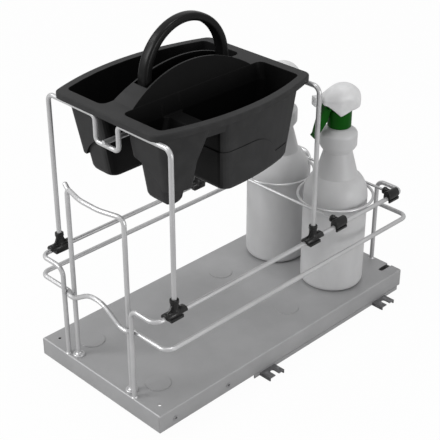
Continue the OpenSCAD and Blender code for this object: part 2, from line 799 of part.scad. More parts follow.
// Snap clip over a rail at the origin, with an upright socket for a hanger's leg
module hanger_clip() {
    half_l = clip_l / 2;
    jaw_x = clip_r * jaw_x_share;
    color(black) difference() {
        union() {
            along_y(-half_l, half_l) translate([-clip_r, -clip_r])
                square([clip_r + jaw_x, 2 * clip_r]);
            cylinder(h = socket_top, d = socket_d);
            along_x(-gusset_t / 2, gusset_t / 2) polygon([
                [-half_l * gusset_l_share, clip_r - clip_t], [half_l * gusset_l_share, clip_r - clip_t],
                [socket_d / 2, clip_r + socket_h * gusset_h_share],
                [-socket_d / 2, clip_r + socket_h * gusset_h_share]
            ]);
        }
        along_y(-half_l - overrun, half_l + overrun) {
            circle(r = clip_bore_r);
            translate([0, -jaw_gap / 2]) square([clip_r + overrun, jaw_gap]);
        }
        translate([-clip_r * jaw_x_share, -half_l - overrun, -clip_r - overrun])
            cube([2 * clip_r, clip_l * (1 - lower_jaw_share) + overrun, clip_r + overrun - jaw_gap / 2]);
        translate([0, 0, socket_top - socket_depth])
            cylinder(h = socket_depth + overrun, r = clip_bore_r);
        translate([-socket_d, -ear_slit / 2, socket_top - ear_depth])
            cube([2 * socket_d, ear_slit, ear_depth + overrun]);
    }
}

module hanger_clip_at(s, y) {
    on_side(s) translate([upper_rail_x, y, upper_rail_z]) hanger_clip();
}

// Ring holder

module cross_wire(y) {
    color(steel) translate([-cross_wire_end, y, ring_z]) rotate([0, 90, 0])
        cylinder(h = 2 * cross_wire_end, d = ring_wire_d);
}

module ring(s) {
    color(steel) translate([s * ring_mid_x, ring_mid_y, ring_z])
        rotate_extrude($fn = 96) translate([ring_half, 0]) circle(d = ring_wire_d);
}

// Snap clip over a rail at the origin, with a boss for a cross wire's end
module ring_clip() {
    half_l = ring_clip_l / 2;
    window = jaw_gap;
    color(black) difference() {
        union() {
            along_y(-half_l, half_l) {
                circle(r = ring_clip_r);
                translate([clip_bore_r, -ring_clip_r - clip_lip_h])
                    square([ring_clip_t, ring_clip_r + clip_lip_h]);
            }
            translate([-boss_start - boss_l, 0, ring_rise]) rotate([0, 90, 0])
                cylinder(h = boss_l + ring_clip_t / 2, d = boss_d);
        }
        along_y(-half_l - overrun, half_l + overrun) {
            circle(r = clip_bore_r);
            translate([clip_bore_r - window, -ring_clip_r - clip_lip_h - overrun])
                square([window, ring_clip_r + clip_lip_h + overrun]);
        }
        translate([-boss_start - boss_l - overrun, 0, ring_rise]) rotate([0, 90, 0])
            cylinder(h = boss_l + overrun, d = boss_bore);
    }
}

module ring_clip_at(s, y) {
    on_side(s) translate([upper_rail_x, y, upper_rail_z]) ring_clip();
}

// Caddy

// Plan with bulging sides: hw is its half width, hl its half length
module barrel(hw, hl, r) {
    offset(r = r) offset(delta = -r) intersection() {
        square([2 * hw, 2 * hl], center = true);
        translate([barrel_r - hw, 0]) circle(r = barrel_r, $fn = 180);
        translate([hw - barrel_r, 0]) circle(r = barrel_r, $fn = 180);
    }
}

// Outline of a well at one level (depth, near side, front, rear, half width), grown by a wall g
function well_outline(l, g) = let (
    r = well_r + g, big = barrel_r + g, x0 = l[1] - g, y0 = l[2] - g, y1 = l[3] + g,
    cx = l[4] - barrel_r,
    near_y = y0 + r, far_y = y1 - r,
    near_x = cx + sqrt((big - r) * (big - r) - near_y * near_y),
    far_x = cx + sqrt((big - r) * (big - r) - far_y * far_y),
    a0 = atan2(near_y, near_x - cx), a1 = atan2(far_y, far_x - cx)
) [for (q = concat(
    arc([x0 + r, near_y], r, 180, 270, 5), arc([near_x, near_y], r, -90, a0, 5),
    arc([cx, 0], big, a0, a1, 8), arc([far_x, far_y], r, a1, 90, 5),
    arc([x0 + r, far_y], r, 90, 180, 5)
)) [q.x, q.y, -l[0]]];

// Solid between neighbouring levels of a well
module well_loft(levels, g) {
    for (i = [0:len(levels) - 2]) {
        ends = concat(well_outline(levels[i], g), well_outline(levels[i + 1], g));
        hull() polyhedron(points = ends, faces = [[for (k = [0:len(ends) - 1]) k]]);
    }
}

// A level at depth d of a well that runs from front to rear at the rim
function level(d, front, rear, fl, rl, step) = let (upper = min(d, shoulder_depth)) [
    d, divider_x + divider_lean * min(d, saddle_depth) + step,
    front + fl * d + step * end_step_share,
    rear - rl * upper - wall_lean * (d - upper) - step * end_step_share,
    mouth_w - wall_lean * d - step
];

// Levels of a well's foot, where the walls round into the floor
function foot(front, rear, fl, rl, step, g) = let (l = level(floor_depth, front, rear, fl, rl, step)) [
    level(floor_depth + g - foot_r, front, rear, fl, rl, step),
    for (a = [30:30:90]) let (in = foot_r * (1 - cos(a))) [
        floor_depth + g - foot_r * (1 - sin(a)),
        l[1] + in, l[2] + in, l[3] - in, l[4] - in
    ]
];

// Depths at which the front wells change, from the rim to the ledge
function upper_levels(front, rear, fl, rl, grow) = [
    for (d = [grow > 0 ? 0 : -overrun, saddle_depth, shoulder_depth, ledge_depth + grow])
        level(d, front, rear, fl, rl, 0)
];

// Arched space under a shoulder, drawn upright from the rim's top, grown by a wall
module shoulder_arch(grow) {
    flat = shoulder_r * 0.31;
    arch_z = -shoulder_depth - shoulder_r;
    hull() for (x = [-flat, flat])
        translate([x, arch_z]) circle(r = shoulder_r + grow, $fn = 96);
    translate([-caddy_w, -2 * caddy_h]) square([2 * caddy_w, 2 * caddy_h - ledge_depth + grow]);
}

// A front well's walls (grow > 0) or its hollow: a wide upper part over an arched shoulder
module stepped_well(front, rear, fl, rl, grow) {
    difference() {
        well_loft(upper_levels(front, rear, fl, rl, grow), grow);
        along_y(-caddy_l, caddy_l) shoulder_arch(caddy_t - grow);
    }
    well_loft(concat(
        [level(shoulder_depth - shoulder_overlap, front, rear, fl, rl, shoulder_step)],
        foot(front, rear, fl, rl, shoulder_step, grow)
    ), grow);
}

module front_well(grow) {
    stepped_well(-mouth_l, saddle_front + groove_lean * saddle_depth, front_lean, groove_lean, grow);
}

module long_well(grow) {
    stepped_well(-mouth_l, mouth_l, front_lean, wall_lean, grow);
}

module rear_well(grow) {
    front = saddle_rear - wall_lean * saddle_depth;
    well_loft(concat(
        upper_levels(front, mouth_l, wall_lean, wall_lean, grow),
        foot(front, mouth_l, wall_lean, wall_lean, 0, grow)
    ), grow);
}

// The rear well's lower half stands a little proud, up to an arched line
module rear_well_skin() {
    front = saddle_rear - wall_lean * saddle_depth;
    proud = caddy_t * (1 + proud_share);
    intersection() {
        well_loft(concat(
            [level(saddle_depth, front, mouth_l, wall_lean, wall_lean, 0)],
            foot(front, mouth_l, wall_lean, 2 * wall_lean, 0, caddy_t)
        ), proud);
        along_x(0, caddy_w) shoulder_arch(0);
    }
}

// Trough over the saddle, which joins the mouths of the two right-hand wells
module saddle_trough(g) {
    reach = well_r + caddy_t;
    well_loft([for (d = [g > 0 ? 0 : -overrun, saddle_depth + g]) [
        d, divider_x + divider_lean * d, saddle_front - reach, saddle_rear + reach,
        mouth_w - divider_lean * d
    ]], g);
}

// Prism with leaning sides, half width hw at the rim, between two heights, along y
module leaning_prism(hw, low, high, y0, y1) {
    along_y(y0, y1) polygon([
        [-hw + divider_lean * low, low], [hw - divider_lean * low, low],
        [hw - divider_lean * high, high], [-hw + divider_lean * high, high]
    ]);
}

module arch_prism(r) {
    along_x(-caddy_w, caddy_w) translate([0, arch_rise - arch_r]) circle(r = r, $fn = 180);
}

module divider() {
    hw = divider_x - rib_inset;
    intersection() {
        leaning_prism(hw, -caddy_t, arch_rise + overrun, -arch_l / 2, arch_l / 2);
        arch_prism(arch_r);
    }
    leaning_prism(hw, -channel_depth - caddy_t, 0, channel_front - caddy_t, channel_rear + caddy_t);
}

module divider_hollow() {
    hw = divider_x - caddy_t - rib_inset;
    end_r = hw + divider_lean * channel_depth;
    intersection() {
        leaning_prism(hw, -channel_depth, arch_rise + overrun, channel_front, channel_rear);
        translate([0, 0, -channel_depth - overrun])
            linear_extrude(height = channel_depth + arch_rise + 3 * overrun) {
                translate([-end_r, channel_front - overrun])
                    square([2 * end_r, channel_rear - end_r - channel_front + overrun]);
                translate([0, channel_rear - end_r]) circle(r = end_r);
            }
    }
    intersection() {
        leaning_prism(hw, -channel_depth, arch_rise, -arch_l / 2, channel_front - caddy_t);
        arch_prism(arch_r - caddy_t);
    }
}

module rim() {
    module outline() { barrel(caddy_w / 2, half_l, caddy_corner_r); }
    difference() {
        union() {
            translate([0, 0, -rim_h]) linear_extrude(height = rim_h - rim_edge_r + slab) outline();
            for (a = [0:30:60]) let (in = rim_edge_r * (1 - cos(a)), up = rim_edge_r * sin(a))
                hull() {
                    translate([0, 0, up - rim_edge_r]) linear_extrude(height = slab)
                        offset(delta = -in) outline();
                    translate([0, 0, rim_edge_r * (sin(a + 30) - 1) - slab])
                        linear_extrude(height = slab)
                        offset(delta = -rim_edge_r * (1 - cos(a + 30))) outline();
                }
        }
        translate([0, 0, -rim_h - overrun]) linear_extrude(height = rim_h - caddy_t + overrun)
            offset(delta = -caddy_t) outline();
    }
}

// Ribs under the rim, which rest on the hangers
module seat_ribs() {
    deep = half_l - caddy_t / 2 - mouth_l;
    for (s = [-1, 1], e = [-1, 1], share = seat_rib_shares)
        translate([s * share * mouth_w - caddy_t / 2, e * (mouth_l + deep / 2) - deep / 2, -rim_h])
            cube([caddy_t, deep, rim_h - caddy_t / 2]);
}

module caddy() {
    color(charcoal) translate([0, caddy_y, rim_top]) difference() {
        union() {
            rim();
            seat_ribs();
            divider();
            front_well(caddy_t);
            rear_well(caddy_t);
            rear_well_skin();
            saddle_trough(caddy_t);
            mirror([1, 0, 0]) long_well(caddy_t);
        }
        front_well(0);
        rear_well(0);
        saddle_trough(0);
        mirror([1, 0, 0]) long_well(0);
        divider_hollow();
    }
}

module caddy_handle() {
    side_r = handle_t / 2;
    flat = handle_w - handle_t;
    module bar_section() {
        square([handle_t, flat], center = true);
        for (s = [-1, 1]) translate([0, s * flat / 2]) circle(r = side_r);
    }
    color(black) translate([0, caddy_y, 0]) {
        translate([0, 0, handle_spring_z]) rotate([0, -90, 0]) rotate([0, 0, -90])
            rotate_extrude(angle = 180, $fn = 96) translate([handle_r, 0]) bar_section();
        for (s = [-1, 1]) translate([0, s * handle_r, 0]) {
            translate([0, 0, handle_seat_z]) rotate([0, 0, 90])
                linear_extrude(height = handle_spring_z - handle_seat_z) bar_section();
            translate([-handle_w / 2 - foot_collar_t, -handle_t / 2 - foot_collar_t, handle_spring_z])
                cube([handle_w + 2 * foot_collar_t, handle_t + 2 * foot_collar_t, foot_collar_h]);
        }
    }
}

// Bottles and sprayers

// Half outline of a bottle from its foot to its mouth, drawn in by t, with its base at height t
function bottle_outline(t) = let (
    end_a = acos(neck_foot_d / bottle_d),
    rise = (neck_foot_h - body_h) / sin(end_a),
    foot_r = max(bottle_foot_r - t, bottle_t)
) concat(
    [[0, t]],
    arc([bottle_r - t - foot_r, t + foot_r], foot_r, -90, 0, 4),
    [for (i = [0:8]) let (a = end_a * i / 8) [bottle_r * cos(a) - t, body_h + rise * sin(a)]],
    [
        [neck_top_d / 2 - t, neck_top_h], [bulge_d / 2 - t, neck_top_h + bulge_chamfer],
        [bulge_d / 2 - t, bulge_top - bulge_chamfer - t], [finish_d / 2 + 2 * bottle_t - t, bulge_top - t]
    ]
);

module bottle(s) {
    lip = finish_d / 2;
    color(milky) translate([s * ring_mid_x, ring_mid_y, bottle_z]) rotate_extrude($fn = 96) difference() {
        polygon(concat(bottle_outline(0), [[lip, bulge_top], [lip, finish_top], [0, finish_top]]));
        polygon(concat(bottle_outline(bottle_t), [
            [lip - bottle_t, bulge_top - bottle_t], [lip - bottle_t, finish_top + overrun],
            [0, finish_top + overrun]
        ]));
    }
}

module at_sprayer(s) {
    translate([s * ring_mid_x, ring_mid_y, bottle_z + collar_foot]) rotate([0, 0, spray_turn]) children();
}

module collar(s) {
    inner_h = finish_h;
    lead_in = 1;
    color(green) at_sprayer(s) difference() {
        rotate_extrude($fn = 64) polygon([
            [0, 0], [collar_d / 2 - lead_in, 0], [collar_d / 2, lead_in],
            [collar_d / 2, collar_h - lead_in], [collar_d / 2 - lead_in, collar_h], [0, collar_h]
        ]);
        translate([0, 0, -overrun]) cylinder(h = inner_h + overrun, r = collar_bore_r);
        cylinder(h = collar_h + overrun, d = dip_tube_d + 2 * head_gap);
    }
}

module dip_tube(s) {
    low = bottle_z + dip_tube_foot;
    high = bottle_z + collar_foot + collar_h;
    color(pale) translate([s * ring_mid_x, ring_mid_y, low]) difference() {
        cylinder(h = high - low, d = dip_tube_d);
        translate([0, 0, -overrun]) cylinder(h = high - low, d = dip_tube_d * 0.7);
    }
}

// Sections of the sprayer head, from its back to its snout: place along the nozzle's reach, top and
// lower edge as shares of the head's height, and half width as a share of the head's half width
head_section_shares = [
    [-0.705, 0.71, 0.51, 0.3], [-0.67, 0.79, 0.44, 0.55], [-0.59, 0.86, 0.4, 0.75],
    [-0.445, 0.935, 0.365, 0.92], [-0.25, 0.985, 0.335, 1], [-0.075, 1, 0.31, 1],
    [0.075, 0.99, 0.295, 0.98], [0.2, 0.96, 0.365, 0.94], [0.345, 0.91, 0.435, 0.82],
    [0.495, 0.86, 0.47, 0.66], [0.64, 0.81, 0.5, 0.5], [0.74, 0.785, 0.525, 0.42]
];
// Height of the widest line of a section, between its lower edge and its top
head_waist_share = 0.42;
// Powers that square the section off: of its width over and under the waist, and of its height
head_power_shares = [0.9, 0.7, 0.95, 0.75];
// Width of the cheeks that hold the trigger's pin, as a share of the head's width
cheek_share = 0.72;

// Skin through the head's sections, each an arch over a squarer foot
module head_shell() {
    sides = 28;
    rings = len(head_section_shares);
    polyhedron(
        points = [for (q = head_section_shares, k = [0:sides - 1]) let (
            a = 360 * k / sides, c = cos(a), w = sin(a),
            waist = q[2] + (q[1] - q[2]) * head_waist_share,
            tall = w > 0 ? q[1] - waist : waist - q[2],
            across = head_power_shares[w > 0 ? 0 : 1],
            upright = head_power_shares[w > 0 ? 2 : 3]
        ) [
            q[0] * nozzle_reach,
            sign(c) * pow(abs(c), across) * q[3] * head_w / 2,
            (waist + sign(w) * pow(abs(w), upright) * tall) * head_h
        ]],
        faces = concat(
            [[for (k = [0:sides - 1]) k], [for (k = [sides - 1:-1:0]) (rings - 1) * sides + k]],
            [for (i = [0:rings - 2], k = [0:sides - 1])
                let (a = i * sides + k, b = i * sides + (k + 1) % sides)
                each [[a, b + sides, b], [a, a + sides, b + sides]]]
        )
    );
}

module spray_head(s) {
    ear_r = pivot_boss_r + trigger_gap;
    slot_w = trigger_w + 2 * trigger_gap;
    cheek_w = head_w * cheek_share;
    color(pale) at_sprayer(s) difference() {
        union() {
            head_shell();
            translate([pivot_reach, cheek_w / 2, pivot_h]) rotate([90, 0, 0])
                cylinder(h = cheek_w, r = ear_r);
        }
        translate([0, 0, -overrun]) cylinder(h = collar_h + overrun, d = collar_d + 2 * head_gap, $fn = 64);
        translate([0, -slot_w / 2, -overrun])
            cube([nozzle_reach, slot_w, pivot_h + ear_r + overrun]);
        translate([pivot_reach, head_w / 2 + overrun, pivot_h]) rotate([90, 0, 0])
            cylinder(h = head_w + 2 * overrun, d = pivot_d + 2 * pivot_play);
        translate([nozzle_reach - nozzle_l - stub_l, 0, nozzle_h]) rotate([0, 90, 0])
            cylinder(h = stub_l + overrun, d = stub_d + 2 * pivot_play);
    }
}

// Front of the trigger's blade, from its pivot down to its tip, as shares of its drop
blade_front_shares = [[0.1, 0.08], [0.17, -0.07], [0.28, -0.4], [0.36, -0.72], [0.4, -0.9], [0.46, -0.97]];
// Back of the trigger's blade, from its tip up to its pivot, as shares of its drop
blade_back_shares = [[0.44, -1], [0.35, -0.95], [0.17, -0.71], [0.01, -0.46], [-0.07, -0.16], [-0.08, 0.02]];
// Outline of the hollow inside the blade, open to the back, as shares of its drop
blade_hollow_shares = [
    [0.1, 0.08], [0.17, -0.07], [0.28, -0.4], [0.36, -0.72], [0.38, -0.84], [0.1, -0.84], [-0.3, -0.5],
    [-0.3, 0.08]
];

module trigger(s) {
    pin_l = head_w * cheek_share;
    hollow_w = trigger_w - 2 * trigger_t;
    hollow_top = pivot_boss_r + trigger_t;
    color(green) at_sprayer(s) translate([pivot_reach, 0, pivot_h]) rotate([90, 0, 0]) difference() {
        union() {
            translate([0, 0, -trigger_w / 2]) linear_extrude(height = trigger_w) {
                circle(r = pivot_boss_r);
                polygon([for (q = concat(blade_front_shares, blade_back_shares)) q * trigger_drop]);
            }
            translate([0, 0, -pin_l / 2]) cylinder(h = pin_l, d = pivot_d);
        }
        translate([0, 0, -hollow_w / 2]) linear_extrude(height = hollow_w) intersection() {
            translate([-trigger_t, 0]) polygon([for (q = blade_hollow_shares) q * trigger_drop]);
            translate([-trigger_drop, -trigger_drop]) square([2 * trigger_drop, trigger_drop - hollow_top]);
        }
    }
}

module nozzle(s) {
    half_w = nozzle_w / 2;
    edge = nozzle_w * 0.1;
    color(pale) at_sprayer(s) translate([nozzle_reach, 0, nozzle_h]) rotate([0, -90, 0]) difference() {
        union() {
            linear_extrude(height = nozzle_l) polygon([
                for (c = [[1, 1], [-1, 1], [-1, -1], [1, -1]], k = [0, 1])
                    [c.x * (half_w - (k == (c.x * c.y > 0 ? 0 : 1) ? 0 : edge)),
                     c.y * (half_w - (k == (c.x * c.y > 0 ? 1 : 0) ? 0 : edge))]
            ]);
            cylinder(h = nozzle_l + stub_l - head_gap, d = stub_d);
        }
        translate([0, 0, -overrun]) cylinder(h = nozzle_l + overrun, d = spray_bore_d);
    }
}

cross_bracket(front_bracket_y);  // front_cross_bracket
cross_bracket(rear_bracket_y);  // rear_cross_bracket
base_rail(-1);  // left_base_rail
base_rail(1);  // right_base_rail
fixed_rail(-1);  // left_fixed_rail
fixed_rail(1);  // right_fixed_rail
ball_cage(-1);  // left_ball_cage
ball_cage(1);  // right_ball_cage
slide_balls(-1);  // left_slide_balls
slide_balls(1);  // right_slide_balls
moving_rail(-1);  // left_moving_rail
moving_rail(1);  // right_moving_rail
tray();
slide_eyelets();
upper_rail(-1);  // left_upper_rail
upper_rail(1);  // right_upper_rail
lower_rail();
pull_loop();
loop_feet();
hanger(front_hanger_y);  // front_hanger
hanger(rear_hanger_y);  // rear_hanger
tie_wire();
hanger_clip_at(-1, front_hanger_y);  // front_left_hanger_clip
hanger_clip_at(1, front_hanger_y);  // front_right_hanger_clip
hanger_clip_at(-1, rear_hanger_y);  // rear_left_hanger_clip
hanger_clip_at(1, rear_hanger_y);  // rear_right_hanger_clip
cross_wire(ring_mid_y - cross_wire_step);  // front_cross_wire
cross_wire(ring_mid_y + cross_wire_step);  // rear_cross_wire
ring(-1);  // left_ring
ring(1);  // right_ring
ring_clip_at(-1, ring_mid_y - cross_wire_step);  // front_left_ring_clip
ring_clip_at(1, ring_mid_y - cross_wire_step);  // front_right_ring_clip
ring_clip_at(-1, ring_mid_y + cross_wire_step);  // rear_left_ring_clip
ring_clip_at(1, ring_mid_y + cross_wire_step);  // rear_right_ring_clip
caddy();
caddy_handle();
bottle(-1);  // left_bottle
bottle(1);  // right_bottle
collar(-1);  // left_collar
collar(1);  // right_collar
spray_head(-1);  // left_spray_head
spray_head(1);  // right_spray_head
trigger(-1);  // left_trigger
trigger(1);  // right_trigger
nozzle(-1);  // left_nozzle
nozzle(1);  // right_nozzle
dip_tube(-1);  // left_dip_tube
dip_tube(1);  // right_dip_tube
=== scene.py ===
"""Under sink organizer: bottles, sprayer heads, clips, handle, welds, finishes and studio."""
import math

import bmesh
import bpy
from bpy.props import FloatProperty, FloatVectorProperty, PointerProperty
from mathutils import Euler, Matrix, Vector, noise


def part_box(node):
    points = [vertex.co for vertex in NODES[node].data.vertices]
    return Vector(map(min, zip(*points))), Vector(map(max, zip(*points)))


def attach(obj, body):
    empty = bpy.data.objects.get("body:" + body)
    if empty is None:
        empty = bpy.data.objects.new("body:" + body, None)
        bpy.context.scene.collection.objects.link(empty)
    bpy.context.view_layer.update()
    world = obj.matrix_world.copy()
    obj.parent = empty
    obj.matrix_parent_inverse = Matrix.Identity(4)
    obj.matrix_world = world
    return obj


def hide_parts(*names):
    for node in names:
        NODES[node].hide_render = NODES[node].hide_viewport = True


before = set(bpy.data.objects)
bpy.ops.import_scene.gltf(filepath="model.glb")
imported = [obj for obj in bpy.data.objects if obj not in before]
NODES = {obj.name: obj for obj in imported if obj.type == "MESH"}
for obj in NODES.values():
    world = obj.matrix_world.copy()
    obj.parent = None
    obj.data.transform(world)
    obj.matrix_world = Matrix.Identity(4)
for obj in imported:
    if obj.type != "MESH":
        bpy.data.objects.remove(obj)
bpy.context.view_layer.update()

bl_info = {
    "name": "Under sink organizer",
    "version": (1, 0, 0),
    "blender": (4, 5, 0),
    "location": "3D View > Sidebar > Organizer",
    "description": "Finishes a pull-out organizer with a caddy and two spray bottles",
    "category": "Object",
}

MM = 0.001

# Places that the modelled pieces share with the solids, in mm
WIRE_R = 3.2
RAIL_X = 112
BOTTLE_X = 56.05
BOTTLE_Y = 157


def colour_property(name, description, default):
    return FloatVectorProperty(
        name=name, description=description, default=default, subtype="COLOR", min=0, max=1
    )


def length_property(name, description, default):
    return FloatProperty(
        name=name, description=description, default=default, min=0, unit="LENGTH", precision=4
    )


class OrganizerColours(bpy.types.PropertyGroup):
    """Colours of the organizer's finishes"""

    powder_coat: colour_property("Powder coat", "Tray and base rails", (0.39, 0.39, 0.395))
    wire: colour_property("Wires", "Rails, hangers, pull loop and rings", (0.56, 0.56, 0.565))
    zinc: colour_property("Zinc", "Slides and eyelets", (0.5, 0.5, 0.51))
    bracket: colour_property("Brackets", "Floor brackets", (0.2, 0.2, 0.205))
    clip: colour_property("Clips", "Snap clips on the rails", (0.004, 0.004, 0.004))
    caddy: colour_property("Caddy", "Moulded caddy", (0.038, 0.038, 0.0385))
    handle: colour_property("Handle", "Caddy's handle", (0.004, 0.004, 0.004))
    bottle: colour_property("Bottles", "Blow-moulded bottles", (0.55, 0.55, 0.555))
    sprayer: colour_property("Sprayers", "Sprayer heads and nozzles", (0.7, 0.7, 0.705))
    trigger: colour_property("Triggers", "Collars and triggers", (0.003, 0.075, 0.003))


class OrganizerSizes(bpy.types.PropertyGroup):
    """Small sizes that the finishes, the heads, the handle and the welds use"""

    sheet_edge: length_property("Sheet edge", "Rounding of the sheet metal's edges", 0.4 * MM)
    plastic_edge: length_property("Plastic edge", "Rounding of the mouldings' edges", 0.8 * MM)
    coat_grain: length_property("Coat grain", "Size of the powder coat's pebbles", 0.7 * MM)
    rim_edge: length_property("Rim edge", "Rounding of the caddy's edges", 1.5 * MM)
    plastic_grain: length_property("Plastic grain", "Size of the caddy's grain", 0.5 * MM)
    apron_drop: length_property("Apron drop", "Height of a sprayer apron's tip", 20.8 * MM)
    handle_top: length_property("Handle top", "Thickness of the handle at its top", 11 * MM)
    weld_throat: length_property("Weld throat", "How far a weld stands round its wire", 2 * MM)


class OrganizerStudio(bpy.types.PropertyGroup):
    """Camera and light"""

    camera_place: FloatVectorProperty(
        name="Camera place",
        description="Where the camera stands",
        default=(0.9632, -0.9756, 0.9524),
        subtype="TRANSLATION",
        unit="LENGTH",
    )
    azimuth: FloatProperty(
        name="Azimuth",
        description="Camera's turn to the left of straight back",
        default=math.radians(45.2408),
        unit="ROTATION",
    )
    elevation: FloatProperty(
        name="Elevation",
        description="How far the camera looks down",
        default=math.radians(29.7126),
        unit="ROTATION",
    )
    lens: FloatProperty(name="Lens", description="Focal length in millimetres", default=93.4)
    sky: FloatProperty(name="Sky", description="Strength of the light all round", default=0.49)
    key: FloatProperty(name="Key lamp", description="Power of the key lamp in watts", default=33.0)


class Term:
    """A socket in a shader expression, on which arithmetic adds the node that does it"""

    def __init__(self, finish, socket):
        self.finish = finish
        self.socket = socket

    def join(self, operation, left, right):
        return self.finish.node("ShaderNodeMath", {"operation": operation}, {0: left, 1: right})

    def __add__(self, other):
        return self.join("ADD", self, other)

    def __radd__(self, other):
        return self.join("ADD", other, self)

    def __sub__(self, other):
        return self.join("SUBTRACT", self, other)

    def __rsub__(self, other):
        return self.join("SUBTRACT", other, self)

    def __mul__(self, other):
        return self.join("MULTIPLY", self, other)

    def __rmul__(self, other):
        return self.join("MULTIPLY", other, self)


class Finish:
    """A material, with one method that adds any of its nodes"""

    def __init__(self, name, tree=None):
        self.material = None
        if tree is None:
            self.material = bpy.data.materials.new(name)
            self.material.use_nodes = True
            tree = self.material.node_tree
        self.tree = tree
        self.tree.nodes.clear()

    def node(self, kind, settings=None, sockets=None, output=0):
        made = self.tree.nodes.new(kind)
        for key, value in (settings or {}).items():
            setattr(made, key, value)
        for key, value in (sockets or {}).items():
            if isinstance(value, Term):
                self.tree.links.new(value.socket, made.inputs[key])
            else:
                made.inputs[key].default_value = value
        return Term(self, made.outputs[output])

    def place(self):
        return self.node("ShaderNodeTexCoord", output="Object")

    def parts(self, vector):
        """The three numbers of a vector"""
        split = self.node("ShaderNodeSeparateXYZ", None, {0: vector})
        return [Term(self, output) for output in split.socket.node.outputs]

    def noise(self, size, detail=3.0, stretch=(1, 1, 1)):
        where = self.node(
            "ShaderNodeVectorMath", {"operation": "MULTIPLY"}, {0: self.place(), 1: stretch}
        )
        return self.node(
            "ShaderNodeTexNoise", None, {"Vector": where, "Scale": 1 / size, "Detail": detail}
        )

    def mix(self, factor, first, second):
        return self.node(
            "ShaderNodeMix",
            {"data_type": "RGBA"},
            {"Factor": factor, 6: first, 7: second},
            output=2,
        )

    def ramp(self, value, low, high):
        return self.node(
            "ShaderNodeMapRange",
            {"clamp": True},
            {"Value": value, "From Min": low, "From Max": high, "To Min": 0.0, "To Max": 1.0},
        )

    def shades(self, value, ends, colour, darker, lighter):
        """A colour's shades, from darker to lighter as the value goes from end to end"""
        return self.mix(self.ramp(value, *ends), solid(colour, darker), solid(colour, lighter))

    def larger(self, first, second):
        return self.node("ShaderNodeMath", {"operation": "MAXIMUM"}, {0: first, 1: second})

    def surface(self, sockets, height=None, depth=0.0, edge=0.0):
        """Ends the material in one shader, with its bump over edges rounded by light"""
        rounded = self.node("ShaderNodeBevel", {"samples": 4}, {"Radius": edge}) if edge else None
        if height is not None:
            sockets["Normal"] = self.node(
                "ShaderNodeBump",
                None,
                {"Height": height, "Strength": 1.0, "Distance": depth}
                | ({"Normal": rounded} if rounded else {}),
            )
        elif rounded:
            sockets["Normal"] = rounded
        shader = self.node("ShaderNodeBsdfPrincipled", None, sockets)
        return self.end("ShaderNodeOutputMaterial", shader)

    def end(self, kind, shader):
        """Joins the last shader to the output, and gives the material"""
        out = self.tree.nodes.new(kind)
        self.tree.links.new(shader.socket, out.inputs["Surface"])
        return self.material


def solid(colour, factor=1.0):
    return (colour[0] * factor, colour[1] * factor, colour[2] * factor, 1.0)


def powder_coated(name, colour, grain, edge, metallic=0.35, roughness=0.42):
    """Satin silver powder coat: faint clouds, fine pebbles and a metallic fleck"""
    f = Finish(name)
    clouds = f.noise(60 * MM, 4.0)
    fleck = f.noise(grain, 2.0)
    tone = clouds * 0.7 + fleck * 0.3
    return f.surface(
        {
            "Base Color": f.shades(tone, (0.38, 0.62), colour, 0.93, 1.06),
            "Metallic": metallic,
            "Roughness": roughness + f.noise(25 * MM) * 0.12,
            "Specular IOR Level": 0.5,
        },
        height=fleck,
        depth=0.02 * MM,
        edge=edge,
    )


def zinc_plated(name, colour, edge):
    """Zinc-plated steel: drawn lines along the rail, brighter and darker patches"""
    f = Finish(name)
    lines = f.noise(0.5 * MM, 2.0, (1, 0.02, 1))
    patches = f.noise(12 * MM, 3.0)
    return f.surface(
        {
            "Base Color": f.shades(patches, (0.35, 0.65), colour, 0.85, 1.1),
            "Metallic": 1.0,
            "Roughness": 0.28 + lines * 0.2,
        },
        height=lines,
        depth=0.01 * MM,
        edge=edge,
    )


def dark_painted(name, colour, edge):
    """Dark coat on the floor brackets, rubbed lighter in patches"""
    f = Finish(name)
    rubbed = f.noise(9 * MM, 5.0)
    fleck = f.noise(0.6 * MM, 2.0)
    return f.surface(
        {
            "Base Color": f.shades(rubbed, (0.5, 0.7), colour, 0.85, 1.5),
            "Metallic": 0.5,
            "Roughness": 0.4 + fleck * 0.15,
        },
        height=fleck,
        depth=0.02 * MM,
        edge=edge,
    )


# Heights in mm between which the caddy's upward faces turn from well to rim; the well floors below
# get painted shade
RIM_FROM, RIM_TO = 389, 391


def moulded_tub(name, colour, grain, edge, box):
    """Moulded plastic: leathery grain and handling marks outside, smooth inside, with painted shade
    that darkens the wells
    """
    f = Finish(name)
    pebbles = f.node(
        "ShaderNodeTexVoronoi",
        {"feature": "SMOOTH_F1"},
        {"Vector": f.place(), "Scale": 1 / grain, "Smoothness": 0.6},
    )
    marks = f.ramp(f.noise(18 * MM, 6.0), 0.42, 0.72)
    grained = f.mix(marks, solid(colour, 0.92), solid(colour, 1.14))
    (low_x, low_y, _), (high_x, high_y, _) = box
    x, y, z = f.parts(f.place())
    turned_x, turned_y, turned_z = f.parts(f.node("ShaderNodeTexCoord", output="Normal"))
    along_x = turned_x * (x - (low_x + high_x) / 2) * (2 / (high_x - low_x))
    along_y = turned_y * (y - (low_y + high_y) / 2) * (2 / (high_y - low_y))
    outer = f.ramp(along_x + along_y, 0.4, 0.55)
    upper = f.ramp(turned_z, 0.5, 0.7) * f.ramp(z, RIM_FROM * MM, RIM_TO * MM)
    # Outward faces and rim tops keep the grained colour; the wells' walls and floors get painted
    # shade, the colour at 0.17
    shown = f.larger(outer, upper)
    return f.surface(
        {
            # Painted shade in the wells: the caddy colour at 0.17 where the faces neither face
            # outwards nor are rim tops
            "Base Color": f.mix(shown, solid(colour, 0.17), grained),
            "Roughness": 0.36 + shown * 0.08 + marks * 0.1,
            "Specular IOR Level": 0.06,
        },
        height=pebbles * shown,
        depth=0.03 * MM,
        edge=edge,
    )


